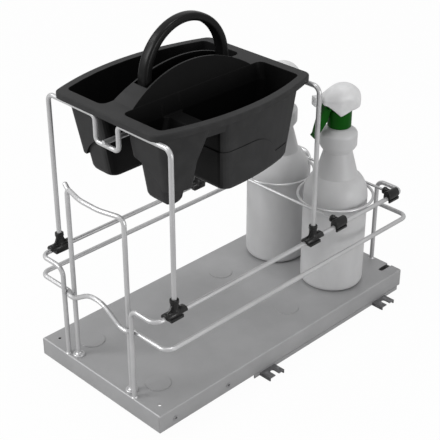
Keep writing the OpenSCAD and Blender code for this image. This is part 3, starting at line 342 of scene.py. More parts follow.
def smooth_plastic(name, colour, edge, roughness=0.3, shine=0.5, coat=0.15, wave=14 * MM):
    """Glossy moulded plastic with slight flow marks"""
    f = Finish(name)
    flow = f.noise(wave, 3.0)
    return f.surface(
        {
            "Base Color": f.shades(flow, (0.35, 0.65), colour, 0.94, 1.05),
            "Roughness": roughness + flow * 0.08,
            "Specular IOR Level": shine,
            "Coat Weight": coat,
            "Coat Roughness": 0.2,
        },
        height=flow,
        depth=0.1 * MM,
        edge=edge,
    )


def milky_plastic(name, colour):
    """Blow-moulded polyethylene: soft glow and walls of uneven thickness"""
    f = Finish(name)
    thickness = f.noise(30 * MM, 3.0, (1, 1, 0.5))
    skin = f.noise(1.2 * MM, 2.0)
    return f.surface(
        {
            "Base Color": f.shades(thickness, (0.35, 0.65), colour, 0.96, 1.04),
            "Roughness": 0.36 + skin * 0.1,
            "Subsurface Weight": 0.25,
            "Subsurface Radius": (0.004, 0.004, 0.0042),
            "Subsurface Scale": 1.0,
            "Specular IOR Level": 0.45,
        },
        height=thickness * 0.8 + skin * 0.2,
        depth=0.12 * MM,
    )


def clear_tube(name):
    """Pale grey dip tube with faint flow marks"""
    f = Finish(name)
    flow = f.noise(8 * MM)
    return f.surface(
        {"Base Color": f.mix(flow, (0.7, 0.72, 0.73, 1), (0.8, 0.81, 0.82, 1)), "Roughness": 0.35}
    )


def dress(names, material):
    """Gives CAD nodes a finish"""
    for name in names:
        mesh = NODES[name].data
        mesh.materials.clear()
        mesh.materials.append(material)


def both_sides(*names):
    return [side + "_" + name for name in names for side in ("left", "right")]


def all_corners(name):
    return [f"{end}_{side}_{name}" for end in ("front", "rear") for side in ("left", "right")]


# Edges of the modelled pieces that turn more than this stay sharp, in degrees
SHARP_TURN = 48


def make_piece(name, points, faces, material, body, slot, levels=0):
    """Adds a modelled piece that rides on a body"""
    mesh = bpy.data.meshes.new(name)
    mesh.from_pydata(points, [], faces)
    shape = bmesh.new()
    shape.from_mesh(mesh)
    bmesh.ops.recalc_face_normals(shape, faces=shape.faces)
    for edge in shape.edges:
        edge.smooth = levels > 0 or edge.calc_face_angle(0) < math.radians(SHARP_TURN)
    shape.to_mesh(mesh)
    shape.free()
    mesh.polygons.foreach_set("use_smooth", [True] * len(mesh.polygons))
    mesh.materials.append(material)
    piece = bpy.data.objects.new(name, mesh)
    bpy.context.scene.collection.objects.link(piece)
    if levels:
        piece.modifiers.new("rounding", "SUBSURF").levels = levels
        piece.modifiers["rounding"].render_levels = levels
    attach(piece, body)
    return piece


def tube_faces(rings, sides, closed=False):
    """Faces of a skin through rings of points, with a cap at each end unless it closes on itself"""
    faces = [
        (a * sides + k, a * sides + (k + 1) % sides, b * sides + (k + 1) % sides, b * sides + k)
        for a, b in zip(range(rings), [*range(1, rings), 0] if closed else range(1, rings))
        for k in range(sides)
    ]
    if not closed:
        faces += [tuple(range(sides)), tuple((rings - 1) * sides + k for k in range(sides))]
    return faces


def around(centre, radius, turn, up):
    """Point at a turn round an upright axis"""
    x, y, z = centre
    return (x + radius * math.cos(turn), y + radius * math.sin(turn), z + up)


def smooth_row(rows, place):
    """Values between the rows at a place, on curves that pass through every row"""
    index = max(i for i, row in enumerate(rows[:-1]) if row[0] <= place or i == 0)
    before, first = rows[max(index - 1, 0)], rows[index]
    second, after = rows[index + 1], rows[min(index + 2, len(rows) - 1)]
    t = (place - first[0]) / (second[0] - first[0])
    values = []
    for a, b, c, d in zip(before, first, second, after):
        bend = 2 * a - 5 * b + 4 * c - d + t * (3 * (b - c) + d - a)
        values.append(b + 0.5 * t * (c - a + t * bend))
    return values


# Sections of a sprayer head in mm: place towards the nozzle, top, widest line, half width
HEAD_SECTIONS = [
    (-28.5, 45.5, 39, 4), (-27, 49.5, 39, 9), (-24, 54, 40, 13), (-18, 58.8, 41, 16.6),
    (-10, 62, 42.5, 18.3), (-3, 63, 43.5, 18.5), (3, 62.4, 43.5, 18.3), (8, 60.6, 43, 17.7),
    (14, 57.4, 42.3, 15.6), (20, 54.2, 42, 12.8), (26, 51.2, 42, 9.8), (30, 49.6, 42, 8.2),
]
# Lower edge of a head's sides in mm: place towards the nozzle, height over the apron's tip
HEAD_HEM = [
    (-28.5, 13), (-27, 10.6), (-24, 9), (-18, 8), (-12, 7.3), (-9, 6.8), (-4, 4.4), (1, 2.1),
    (5.2, 0.3), (6, 0), (6.8, 0.4), (10.5, 3.8), (15, 8), (19, 11.4), (23, 14.6), (26, 16),
    (30, 16.6),
]
# Places of a head's further sections, where its hollow changes or its hem needs one
HEAD_CUTS = {-15, -6.5, 12.5, 15.4, 15.6}
# Hollow of a head in mm: radius round the collar and height of the roof over it, where the
# trigger's slot begins, the slot's half width and roof, and the thinnest wall beside them
COLLAR_BORE = 17.1
COLLAR_SEAT = 26.3
SLOT_FROM = 15.5
SLOT_HALF = 7.2
SLOT_ROOF = 37.2
HEAD_WALL = 0.9
# Least half width of the hollow where the collar's bore closes, in mm
BORE_END = 3
# Where the hollow under a head's cheek begins, and how soon it reaches its depth, in mm
CHEEK_FROM = -6
CHEEK_RUN = 16
# Points of a section, counted from its top: the cheek's crease, and the hem with its inner edge
CHEEK_POINT = 4
HEM_POINTS = (6, 7, 8)
CHEEK_CREASE = 0.6
HEM_CREASE = 0.85
# Height of a head's foot, in mm, and where its nozzle points, in degrees
HEAD_FOOT = 281.2
HEAD_TURN = -115


def head_ring(place, tip):
    """Points round a section of a sprayer head, in mm: over its top and back through its hollow"""
    _, top, waist, half = smooth_row(HEAD_SECTIONS, place)
    hem = tip + next(
        a[1] + (b[1] - a[1]) * (place - a[0]) / (b[0] - a[0])
        for a, b in zip(HEAD_HEM, HEAD_HEM[1:])
        if place <= b[0]
    )
    if place > SLOT_FROM:
        inner, roof = SLOT_HALF, SLOT_ROOF
    else:
        inner = math.sqrt(max(COLLAR_BORE**2 - place**2, BORE_END**2))
        roof = COLLAR_SEAT
    inner = min(inner, half - HEAD_WALL)
    roof = max(roof, hem + 0.2)
    step = min(max((place - CHEEK_FROM) / CHEEK_RUN, 0), 1)
    side = [
        (0.5 * half, top - 0.07 * (top - waist)),
        (0.84 * half, top - 0.4 * (top - waist)),
        (0.98 * half, waist + 0.2 * (top - waist)),
        (half, waist),
        (0.985 * half - 0.9 * step, waist - (0.5 - 0.36 * step) * (waist - hem)),
        (max(0.96 * half, inner + 0.7), hem),
        (inner, hem + 0.1),
        (inner, roof),
    ]
    ring = [(0, top), *side, (0, roof), *[(-y, z) for y, z in reversed(side)]]
    return [(place, y, z) for y, z in ring]


# Power that makes the handle's section squarish: 1 would leave an ellipse
SQUARISH = 0.55


def arch_ring(angle, reach, along, across, sides=28):
    """Points round a bar bent over an arch, flattened to a squarish oval"""
    points = []
    for k in range(sides):
        turn = math.tau * k / sides
        c, w = math.cos(turn), math.sin(turn)
        x = math.copysign(abs(c) ** SQUARISH, c) * across / 2
        out = reach + math.copysign(abs(w) ** SQUARISH, w) * along / 2
        points.append((x, out * math.cos(angle), out * math.sin(angle)))
    return points


# Depth of the ripples in a fillet and in a bead, as shares of its throat
FILLET_RIPPLE = 0.14
BEAD_RIPPLE = 0.1
# Side of a weld's fillet, in throats: out from its wire and up
FILLET = [
    (-0.3, -0.2), (1.0, -0.1), (0.95, 0.12), (0.45, 0.4), (0.15, 0.85), (0, 1.25), (-0.3, 1.3),
]


def fillet(centre, wire_r, throat, turns=28):
    """Weld round the foot of an upright wire, drawn in to the wire at its top"""
    points = []
    for k in range(turns):
        turn = math.tau * k / turns
        facing = Vector((math.cos(turn), math.sin(turn), 0))
        ripple = 1 + FILLET_RIPPLE * noise.noise(Vector(centre) * 90 + facing * 2.5)
        for out, up in FILLET:
            points.append(around(centre, wire_r + out * throat * ripple, turn, up * throat))
    return points, tube_faces(turns, len(FILLET), closed=True)


def bead(x, y, z, reach, turns=14, sides=12):
    """Short run of weld where two wires touch, its skin in overlapping ripples"""
    reach_x, reach_y, reach_z = [length * MM for length in reach]
    points = []
    for i in range(turns):
        along = math.pi * (i + 0.5) / turns
        swell = math.sin(along) ** 0.6 * (1 + BEAD_RIPPLE * math.cos(along * 10))
        for k in range(sides):
            turn = math.tau * k / sides
            points.append(
                (
                    x - reach_x * math.cos(along),
                    y + reach_y * swell * math.cos(turn),
                    z + reach_z * swell * math.sin(turn),
                )
            )
    return points, tube_faces(turns, sides)


# Welds in mm: the pull loop's legs, the upper rails' legs, the tie wire's ends and height, and
# where the rings touch the cross wires
LOOP_LEG = (54, -233.9)
RAIL_LEG = (67, 240.4)
TIE_ENDS = (-209, 44)
TIE_HEIGHT = 357.2
RING_ENDS = (101, 213)
# How much smaller the welds of the upper rails are than those of the pull loop
RAIL_THROAT = 0.75
# Reach of a bead in mm, in x, y and z
TIE_BEAD = (4.6, 2.8, 2.6)
RING_BEAD = (5.5, 1.7, 1.9)
MIDDLE_BEAD = (1.6, 5, 1.9)
# End of the pull loop's bow past its left leg, in mm
LOOP_END = [
    (-47, -235.6, 287.2), (-50.5, -234.7, 287.9), (-54, -233.9, 289.4), (-57, -233.4, 291.8),
]


def wire_end(route, wire_r, sides=20):
    """Stub of wire along a route, with a rounded tip"""
    route = [Vector(point) * MM for point in route]
    last = (route[-1] - route[-2]).normalized()
    steps = [(point, 1.0) for point in route]
    for out in (0.4, 0.7, 0.9, 1):
        steps.append((route[-1] + last * wire_r * out, math.sqrt(1 - (out * 0.98) ** 2)))
    points = []
    for i, (middle, width) in enumerate(steps):
        ahead = steps[min(i + 1, len(steps) - 1)][0] - steps[max(i - 1, 0)][0]
        across = ahead.cross(Vector((0, 1, 0))).normalized()
        up = across.cross(ahead).normalized()
        for k in range(sides):
            turn = math.tau * k / sides
            facing = across * math.cos(turn) + up * math.sin(turn)
            points.append(tuple(middle + facing * wire_r * width))
    return points, tube_faces(len(steps), sides)


# Outside of a bottle in mm, radius and height: its foot, its straight body, its cone and mouth
BOTTLE_FOOT = [
    (0.3, 2.6), (20, 2.2), (33, 1.4), (36.5, 0.2), (38.5, 0), (41.5, 0.5), (44.2, 2), (45.6, 4.6),
]
BODY_R = 46
BODY_LEVELS = (8, 9.5, 40, 100, 130)
BOTTLE_NECK = [
    (30.6, 173), (30, 173.3), (29.7, 173.9), (29.3, 175.4), (27.2, 184), (24.6, 194), (22.2, 203),
    (20.6, 209), (20.4, 210.6), (21.4, 212), (25.4, 217.6), (26.4, 219.6), (26.5, 222), (26.5, 235),
    (26.2, 237.6), (25.2, 239.4), (16.6, 246.3), (15, 247), (13, 247.2), (13, 261.6), (12.6, 262),
    (11.6, 262),
]
# Points of the mouth's rim, which the inside leaves out, and where it begins over its floor
MOUTH_POINTS = 5
INSIDE_FROM = 9
# Shoulder of a bottle: where it leaves the body, how far in and up it curves in mm, and its steps
DOME_FOOT = 138
DOME_SPREAD = 22
DOME_H = 36
DOME_STEPS = 12
DOME_LEAN = math.radians(6.1)
# Wall of a bottle in mm, and its inside floor, radius and height
BOTTLE_WALL = 1.4
BOTTLE_FLOOR = [
    (BODY_R - 8 - BOTTLE_WALL, 2 + BOTTLE_WALL), (20, 2.6 + BOTTLE_WALL), (0.3, 3 + BOTTLE_WALL),
]
# Where the two halves of a bottle's mould meet: its turn, how far their line stands out, and the
# height and radius over which it shows, in mm
SEAM_TURN = math.radians(65)
SEAM_H = 0.22
SEAM_FROM = 5
SEAM_R = BODY_R / 3


def blown_bottle(centre, turns=120):
    """Bottle with a pushed-up base, a full shoulder, a cone, a bulge and a faint parting line"""
    outside = BOTTLE_FOOT + [(BODY_R, z) for z in BODY_LEVELS]
    for k in range(DOME_STEPS):
        r = BODY_R - DOME_SPREAD * (1 - math.cos(DOME_LEAN * k))
        outside.append((r, DOME_FOOT + DOME_H * math.sin(DOME_LEAN * k)))
    outside += BOTTLE_NECK
    below_mouth = reversed(outside[:-MOUTH_POINTS])
    inside = [(r - BOTTLE_WALL, z) for r, z in below_mouth if z > INSIDE_FROM]
    points = []
    for r, z in [*outside, *inside, *BOTTLE_FLOOR]:
        for k in range(turns):
            seam = SEAM_H if k % (turns // 2) == 0 and r > SEAM_R and z > SEAM_FROM else 0
            turn = math.tau * k / turns + SEAM_TURN
            points.append(around(centre, (r + seam) * MM, turn, z * MM))
    return points, tube_faces(len(points) // turns, turns)


# Radius of a clip's bore round its rail, and the radius within which its ends keep their size,
# in mm
CLIP_BORE = 3.38
BORE_EDGE = 3.5


def bore(first, last, step=15):
    """Points along the bore that a clip has round its rail, in mm, from angle to angle"""
    return [
        (CLIP_BORE * math.cos(math.radians(a)), CLIP_BORE * math.sin(math.radians(a)))
        for a in range(first, last + 1, step)
    ]


# Sections of the clips round their rail's middle, in mm outwards and up: a ring clip's saddle,
# from inside its hook, and a hanger clip's jaw, which is open on its outer side, and its plate
SADDLE = [
    (-3.2, -1.2), (-5.3, -1.1), (-5.8, 0), (-5.8, 4), (-5.4, 7), (-4.2, 9.4), (-2.2, 11),
    (0, 11.5), (2.4, 11), (4.3, 9.4), (5.6, 7), (6, 4.5), (6, 0.5), (5.6, 0), (4.4, -0.2),
    (4.4, -1.5), (5.6, -1.7), (6.2, -1.9), (6.2, -4.8), (5.8, -5.4), (4.6, -5.6), (4.1, -5),
    (4, -3), (3.6, -1.6), *bore(-15, 195),
]
JAW = [
    (3.9, -2.5), (6, -2.5), (6, -6), (-5, -6), (-6, -4), (-6, 3), (-4, 5.6), (0, 6.2), (4, 5.6),
    (6, 3), (6, 0.7), (3.9, 0.7), *bore(12, 312),
]
PLATE = [
    (-3.6, 1), (-6.2, 1), (-6.2, 3.2), (-4, 6), (0, 6.6), (4, 6), (6.2, 3.2), (6.2, 1), (3.6, 1),
    *bore(20, 160),
]
# How each of them runs along the rail: place in mm and the share of its width that it keeps
SADDLE_RUN = ((-11, 0.94), (-10.6, 0.985), (-10, 1), (10, 1), (10.6, 0.985), (11, 0.94))
JAW_RUN = ((-10.5, 0.95), (-10, 1), (10, 1), (10.5, 0.95))
PLATE_RUN = ((-17, 0.9), (-16.4, 1), (16.4, 1), (17, 0.9))
# Side of a ring clip's boss round its cross wire, in mm: outwards of the rail, and radius
BOSS = [
    (-3.5, 4.6), (-10, 4.6), (-10.4, 5), (-10.7, 5.4), (-13.4, 5.4), (-13.8, 5), (-13.8, 2.15),
    (-3.5, 2.15),
]
# How far the cross wire's middle stands over the rail's, in mm
BOSS_RISE = 5.5
# Side of a hanger clip's socket round its leg, in mm: radius, and height over the rail's middle
SOCKET = [
    (3.3, 22), (5.3, 22), (5.8, 21.6), (5.8, 17.4), (5, 16.8), (4.9, 10), (5.4, 7.8), (6, 6.4),
    (6, 4.4), (3.3, 4.4),
]
# Ribs of the socket in mm: how far they stand out, and where they begin and end. One in so many
# of its upright lines is a rib
RIB_H = 0.35
RIB_FROM, RIB_TO = 9, 17.5
RIB_EVERY = 4
# Fin between the socket and the plate, in mm: along the rail and up, and half its thickness
FIN = [(4, 4.5), (4, 15), (5.6, 14.4), (7.6, 9.4), (12.4, 6.6), (12.4, 4.5)]
FIN_HALF = 1.2


def clip_seat(name):
    """Middle of the rail where a clip sits, and the side that it is on"""
    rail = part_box("right_upper_rail")
    low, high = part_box(name)
    side = 1 if low[0] > 0 else -1
    return (side * RAIL_X * MM, (low[1] + high[1]) / 2, rail[1][2] - WIRE_R * MM), side


def run_along(centre, side, section, stops):
    """Skin of a section that runs along the rail, drawn in a little at its ends"""
    points = []
    for y, keep in stops:
        for x, z in section:
            k = keep if math.hypot(x, z) > BORE_EDGE else 1
            points.append(
                (centre[0] + side * x * k * MM, centre[1] + y * MM, centre[2] + z * k * MM)
            )
    return points, tube_faces(len(stops), len(section))


def hanger_clip(centre, side, turns=32):
    """Clip with a jaw round the rail, a plate on it, and a ribbed socket for the hanger's leg"""
    jaw = run_along(centre, side, JAW, JAW_RUN)
    plate = run_along(centre, side, PLATE, PLATE_RUN)
    socket = []
    for k in range(turns):
        for r, z in SOCKET:
            rib = RIB_H if k % RIB_EVERY == 0 and RIB_FROM < z < RIB_TO else 0
            socket.append(around(centre, (r + rib) * MM, math.tau * k / turns, z * MM))
    fins = []
    for end in (-1, 1):
        points = [
            (centre[0] + x * MM, centre[1] + end * y * MM, centre[2] + z * MM)
            for x in (-FIN_HALF, FIN_HALF)
            for y, z in FIN
        ]
        fins.append((points, tube_faces(2, len(FIN))))
    return gather([jaw, plate, (socket, tube_faces(turns, len(SOCKET), closed=True)), *fins])


def snap_clip(centre, side, turns=28):
    """Saddle that hooks over a rail, and the boss on it that holds a cross wire"""
    boss = []
    for k in range(turns):
        turn = math.tau * k / turns
        for x, r in BOSS:
            boss.append(
                (
                    centre[0] + side * x * MM,
                    centre[1] + r * MM * math.cos(turn),
                    centre[2] + BOSS_RISE * MM + r * MM * math.sin(turn),
                )
            )
    saddle = run_along(centre, side, SADDLE, SADDLE_RUN)
    return gather([saddle, (boss, tube_faces(turns, len(BOSS), closed=True))])


def gather(parts):
    """Points and faces of several closed skins as one"""
    points, faces = [], []
    for some, joined in parts:
        faces += [tuple(k + len(points) for k in face) for face in joined]
        points += some
    return points, faces


class OrganizerOperator(bpy.types.Operator):
    """Shared by the organizer's operators"""

    bl_options = {"REGISTER", "UNDO"}

    @property
    def colours(self):
        return bpy.context.scene.organizer_colours

    @property
    def sizes(self):
        return bpy.context.scene.organizer_sizes


# Lamps: name, place and width in metres, and share of the key lamp's power
LAMPS = [
    ("key_lamp", (-1.0, -1.9, 1.6), 1.1, 1.0),
    ("side_lamp", (-1.55, -0.85, 1.95), 0.5, 0.18),
    ("top_lamp", (0.1, 0.1, 2.1), 0.45, 0.22),
    ("fill_lamp", (2.2, 0.3, 0.5), 0.8, 0.4),
]
LAMPS_AIM = (0, 0, 0.2)
FLOOR_REACH = 6.0
# Share of white light in what the camera sees of the floor, and the floor's own grey
FLOOR_GLOW = 0.97
FLOOR_GREY = 0.65
# Share of the white surroundings in what shines back from the finishes
MIRRORED_WHITE = 0.4
WHITE = (1, 1, 1, 1)


class ORGANIZER_OT_stage(OrganizerOperator):
    """Lays the pale floor, and sets the lamps and the camera"""

    bl_idname = "organizer.stage"
    bl_label = "Stage"

    def execute(self, context):
        studio = context.scene.organizer_studio
        self.lay_floor()
        self.light_sky(studio.sky)
        for name, place, size, share in LAMPS:
            self.hang_lamp(name, place, size, studio.key * share)
        camera = bpy.data.objects.new("camera", bpy.data.cameras.new("camera"))
        context.scene.collection.objects.link(camera)
        camera.location = studio.camera_place
        camera.rotation_euler = Euler((math.pi / 2 - studio.elevation, 0, studio.azimuth))
        camera.data.lens = studio.lens
        camera.data.clip_end = 20
        context.scene.camera = camera
        context.scene.view_settings.view_transform = "Standard"
        return {"FINISHED"}

    def lay_floor(self):
        reach = FLOOR_REACH
        mesh = bpy.data.meshes.new("floor")
        corners = [(-reach, -reach, 0), (reach, -reach, 0), (reach, reach, 0), (-reach, reach, 0)]
        mesh.from_pydata(corners, [], [(0, 1, 2, 3)])
        floor = bpy.data.objects.new("floor", mesh)
        bpy.context.scene.collection.objects.link(floor)
        f = Finish("floor_white")
        ray = f.node("ShaderNodeLightPath", output="Is Camera Ray")
        matt = f.node("ShaderNodeBsdfDiffuse", None, {"Color": solid(WHITE, FLOOR_GREY)})
        glow = f.node("ShaderNodeEmission", None, {"Color": WHITE, "Strength": 1.0})
        both = f.node("ShaderNodeMixShader", None, {0: ray * FLOOR_GLOW, 1: matt, 2: glow})
        mesh.materials.append(f.end("ShaderNodeOutputMaterial", both))

    def light_sky(self, strength):
        world = bpy.data.worlds.new("studio")
        world.use_nodes = True
        bpy.context.scene.world = world
        f = Finish("studio", world.node_tree)
        seen, through, mirrored = [
            f.node("ShaderNodeLightPath", output=f"Is {kind} Ray")
            for kind in ("Camera", "Transmission", "Glossy")
        ]
        shown = f.larger(f.larger(seen, through), mirrored * MIRRORED_WHITE)
        soft = f.node("ShaderNodeBackground", None, {"Color": WHITE, "Strength": strength})
        white = f.node("ShaderNodeBackground", None, {"Color": WHITE, "Strength": 1.0})
        both = f.node("ShaderNodeMixShader", None, {0: shown, 1: soft, 2: white})
        f.end("ShaderNodeOutputWorld", both)

    def hang_lamp(self, name, place, size, power):
        lamp = bpy.data.lights.new(name, "AREA")
        lamp.size = size
        lamp.energy = power
        hung = bpy.data.objects.new(name, lamp)
        bpy.context.scene.collection.objects.link(hung)
        hung.location = place
        aim = Vector(LAMPS_AIM) - Vector(place)
        hung.rotation_euler = aim.to_track_quat("-Z", "Y").to_euler()


class ORGANIZER_OT_base(OrganizerOperator):
    """Finishes the floor brackets, the base rails and the ball slides"""

    bl_idname = "organizer.base"
    bl_label = "Brackets and slides"

    def execute(self, context):
        edge = self.sizes.sheet_edge
        dress(
            ["front_cross_bracket", "rear_cross_bracket"],
            dark_painted("bracket_coat", self.colours.bracket, edge),
        )
        dress(
            both_sides("base_rail"),
            powder_coated("base_rail_coat", self.colours.powder_coat, self.sizes.coat_grain, edge),
        )
        dress(
            both_sides("fixed_rail", "moving_rail", "slide_balls") + ["slide_eyelets"],
            zinc_plated("zinc", self.colours.zinc, 0),
        )
        dress(both_sides("ball_cage"), zinc_plated("cage_steel", self.colours.bracket, 0))
        return {"FINISHED"}


class ORGANIZER_OT_tray(OrganizerOperator):
    """Finishes the folded tray"""

    bl_idname = "organizer.tray"
    bl_label = "Tray"

    def execute(self, context):
        coat = powder_coated(
            "tray_coat", self.colours.powder_coat, self.sizes.coat_grain, self.sizes.sheet_edge
        )
        dress(["tray"], coat)
        return {"FINISHED"}


class ORGANIZER_OT_wires(OrganizerOperator):
    """Finishes the rails, the pull loop, the hangers and the rings, and adds their welds"""

    bl_idname = "organizer.wires"
    bl_label = "Wires"

    def execute(self, context):
        coat = powder_coated("wire_coat", self.colours.wire, self.sizes.coat_grain, 0, 0.6, 0.3)
        wires = ["lower_rail", "pull_loop", "loop_feet", "front_hanger", "rear_hanger", "tie_wire"]
        wires += ["front_cross_wire", "rear_cross_wire"] + both_sides("upper_rail", "ring")
        dress(wires, coat)
        self.weld_frame(coat)
        self.weld_rings(coat)
        return {"FINISHED"}

    def weld_frame(self, coat):
        """Fillets at the feet of the pull loop and rails, beads on the tie wire, the loop's end"""
        throat = self.sizes.weld_throat
        foot_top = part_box("loop_feet")[1][2]
        tray_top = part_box("right_upper_rail")[0][2]
        welds = []
        for side in (-1, 1):
            foot = (side * LOOP_LEG[0] * MM, LOOP_LEG[1] * MM, foot_top)
            welds.append(fillet(foot, WIRE_R * MM, throat))
            for end in (-1, 1):
                foot = (side * RAIL_LEG[0] * MM, end * RAIL_LEG[1] * MM, tray_top)
                welds.append(fillet(foot, WIRE_R * MM, RAIL_THROAT * throat))
        welds += [bead(0, y * MM, TIE_HEIGHT * MM, TIE_BEAD) for y in TIE_ENDS]
        welds.append(wire_end(LOOP_END, WIRE_R * MM))
        make_piece("frame_welds", *gather(welds), coat, "tray_frame", "wire")

    def weld_rings(self, coat):
        """Beads where the rings touch the cross wires and each other"""
        level = 0.5 * (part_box("right_ring")[0][2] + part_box("right_ring")[1][2])
        welds = [
            bead(side * BOTTLE_X * MM, y * MM, level, RING_BEAD)
            for side in (-1, 1)
            for y in RING_ENDS
        ]
        welds.append(bead(0, BOTTLE_Y * MM, level, MIDDLE_BEAD))
        make_piece("ring_welds", *gather(welds), coat, "bottle_holder", "wire")


class ORGANIZER_OT_clips(OrganizerOperator):
    """Models and finishes the black snap clips"""

    bl_idname = "organizer.clips"
    bl_label = "Clips"

    def execute(self, context):
        edge = self.sizes.plastic_edge
        black = smooth_plastic("clip_black", self.colours.clip, edge, 0.28, shine=0.35, coat=0.05)
        dress(all_corners("hanger_clip") + all_corners("ring_clip"), black)
        for name in all_corners("hanger_clip"):
            skin = hanger_clip(*clip_seat(name))
            clip = make_piece(name.replace("clip", "grip"), *skin, black, "tray_frame", "clip")
            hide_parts(name)
        for name in all_corners("ring_clip"):
            skin = snap_clip(*clip_seat(name))
            clip = make_piece(name.replace("clip", "snap"), *skin, black, "bottle_holder", "clip")
            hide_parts(name)
        return {"FINISHED"}


# Handle in mm: its legs, how far they stand in from its solid's ends, and its width, which is
# smaller at its foot and its top
HANDLE_LEG = 13
HANDLE_INSET = 1.5
HANDLE_WIDTH = 16
FOOT_TAPER = 2.2
TOP_TAPER = 1.5
# Heights of the rings of its legs, as shares of a leg, and the steps of its arch
LEG_STOPS = (0, 0.02, 0.2, 0.4, 0.6, 0.8, 0.95)
ARCH_STEPS = 36


class ORGANIZER_OT_caddy(OrganizerOperator):
    """Finishes the moulded caddy, and models its handle"""

    bl_idname = "organizer.caddy"
    bl_label = "Caddy"

    def execute(self, context):
        grain = self.sizes.plastic_grain
        edge = self.sizes.plastic_edge
        rim = self.sizes.rim_edge
        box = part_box("caddy")
        dress(["caddy"], moulded_tub("caddy_grain_painted_shade", self.colours.caddy, grain, rim, box))
        colour = self.colours.handle
        black = smooth_plastic("handle_black", colour, edge, 0.3, shine=0.16, coat=0.03)
        dress(["caddy_handle"], black)
        self.bend_handle(black)
        return {"FINISHED"}

    def bend_handle(self, black):
        """Oval bar over the caddy, slimmer at its top, with its feet in the divider's channel"""
        low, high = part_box("caddy_handle")
        centre_y = 0.5 * (low[1] + high[1])
        leg = HANDLE_LEG * MM
        reach = 0.5 * (high[1] - low[1]) - leg / 2 - HANDLE_INSET * MM
        spring = high[2] - reach - leg / 2
        rings = []
        for height in LEG_STOPS:
            z = low[2] + (spring - low[2]) * height
            width = HANDLE_WIDTH - FOOT_TAPER * (height == 0)
            flat = arch_ring(0, reach, leg, width * MM)
            rings.append([(x, centre_y + y, z) for x, y, _ in flat])
        far_leg = [[(x, 2 * centre_y - y, z) for x, y, z in ring] for ring in reversed(rings)]
        for k in range(ARCH_STEPS + 1):
            angle = math.pi * k / ARCH_STEPS
            slim = math.sin(angle) ** 1.5
            thick = leg + (self.sizes.handle_top - leg) * slim
            bent = arch_ring(angle, reach, thick, (HANDLE_WIDTH - TOP_TAPER * slim) * MM)
            rings.append([(x, centre_y + y, spring + z) for x, y, z in bent])
        rings += far_leg
        points = [point for ring in rings for point in ring]
        faces = tube_faces(len(rings), len(rings[0]))
        handle = make_piece("handle_bar", points, faces, black, "caddy_set", "handle", 1)
        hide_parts("caddy_handle")


class ORGANIZER_OT_bottles(OrganizerOperator):
    """Models the two bottles, and finishes their dip tubes"""

    bl_idname = "organizer.bottles"
    bl_label = "Bottles"

    def execute(self, context):
        milky = milky_plastic("bottle_milky", self.colours.bottle)
        dress(both_sides("bottle"), milky)
        for side in ("left", "right"):
            low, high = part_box(side + "_bottle")
            centre = ((low[0] + high[0]) / 2, (low[1] + high[1]) / 2, low[2])
            skin = blown_bottle(centre)
            body = side + "_spray_bottle"
            bottle = make_piece(side + "_bottle_skin", *skin, milky, body, "bottle")
            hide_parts(side + "_bottle")
        dress(both_sides("dip_tube"), clear_tube("tube_clear"))
        return {"FINISHED"}


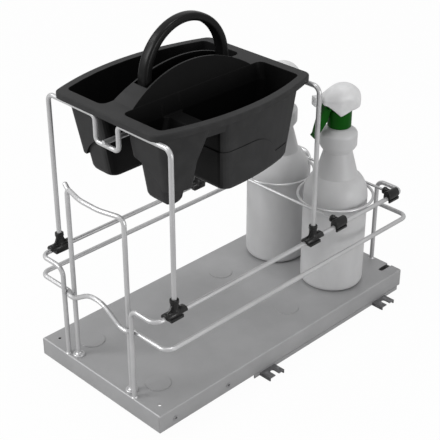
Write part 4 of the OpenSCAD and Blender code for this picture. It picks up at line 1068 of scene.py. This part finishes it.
class ORGANIZER_OT_sprayers(OrganizerOperator):
    """Models the sprayers' heads, and finishes their nozzles, collars and triggers"""

    bl_idname = "organizer.sprayers"
    bl_label = "Sprayers"

    def execute(self, context):
        edge = self.sizes.plastic_edge
        pale = smooth_plastic("sprayer_pale", self.colours.sprayer, edge, 0.38)
        green = smooth_plastic("trigger_green", self.colours.trigger, edge, 0.3, shine=0.08, coat=0)
        dress(both_sides("spray_head", "nozzle"), pale)
        dress(both_sides("collar", "trigger"), green)
        for side in ("left", "right"):
            self.mould_head(side, pale)
        return {"FINISHED"}

    def mould_head(self, side, pale):
        """Head with a crease along each cheek and a pointed apron over its collar"""
        places = sorted({row[0] for row in HEAD_SECTIONS + HEAD_HEM} | HEAD_CUTS)
        tip = self.sizes.apron_drop / MM
        rings = [head_ring(place, tip) for place in places]
        sides = len(rings[0])
        x = BOTTLE_X * MM * (1 if side == "right" else -1)
        stand = Matrix.Translation((x, BOTTLE_Y * MM, HEAD_FOOT * MM))
        stand = stand @ Matrix.Rotation(math.radians(HEAD_TURN), 4, "Z")
        points = [stand @ (Vector(point) * MM) for ring in rings for point in ring]
        faces = tube_faces(len(rings), sides)
        body = side + "_spray_bottle"
        head = make_piece(side + "_head_shell", points, faces, pale, body, "head", 2)
        creased = {CHEEK_POINT: CHEEK_CREASE, sides - CHEEK_POINT: CHEEK_CREASE}
        for point in HEM_POINTS:
            creased[point] = creased[sides - point] = HEM_CREASE
        crease = head.data.attributes.new("crease_edge", "FLOAT", "EDGE")
        for edge in head.data.edges:
            a, b = [point % sides for point in edge.vertices]
            if a == b and a in creased:
                crease.data[edge.index].value = creased[a]
        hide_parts(side + "_spray_head")


class ORGANIZER_PT_panel(bpy.types.Panel):
    """The organizer's operators, colours and sizes"""

    bl_label = "Under sink organizer"
    bl_idname = "ORGANIZER_PT_panel"
    bl_space_type = "VIEW_3D"
    bl_region_type = "UI"
    bl_category = "Organizer"

    def draw(self, context):
        for operator in OPERATORS:
            self.layout.operator(operator.bl_idname)
        for group in ("organizer_colours", "organizer_sizes", "organizer_studio"):
            settings = getattr(context.scene, group)
            for key in settings.__annotations__:
                self.layout.prop(settings, key)


OPERATORS = [
    ORGANIZER_OT_stage,
    ORGANIZER_OT_base,
    ORGANIZER_OT_tray,
    ORGANIZER_OT_wires,
    ORGANIZER_OT_clips,
    ORGANIZER_OT_caddy,
    ORGANIZER_OT_bottles,
    ORGANIZER_OT_sprayers,
]
GROUPS = {
    "organizer_colours": OrganizerColours,
    "organizer_sizes": OrganizerSizes,
    "organizer_studio": OrganizerStudio,
}


def register():
    for cls in [*GROUPS.values(), *OPERATORS, ORGANIZER_PT_panel]:
        bpy.utils.register_class(cls)
    for name, group in GROUPS.items():
        setattr(bpy.types.Scene, name, PointerProperty(type=group))


def unregister():
    for name in GROUPS:
        delattr(bpy.types.Scene, name)
    for cls in [ORGANIZER_PT_panel, *reversed(OPERATORS), *GROUPS.values()]:
        bpy.utils.unregister_class(cls)


def main():
    register()
    for operator in OPERATORS:
        group, name = operator.bl_idname.split(".")
        getattr(getattr(bpy.ops, group), name)()


if __name__ == "__main__":
    main()
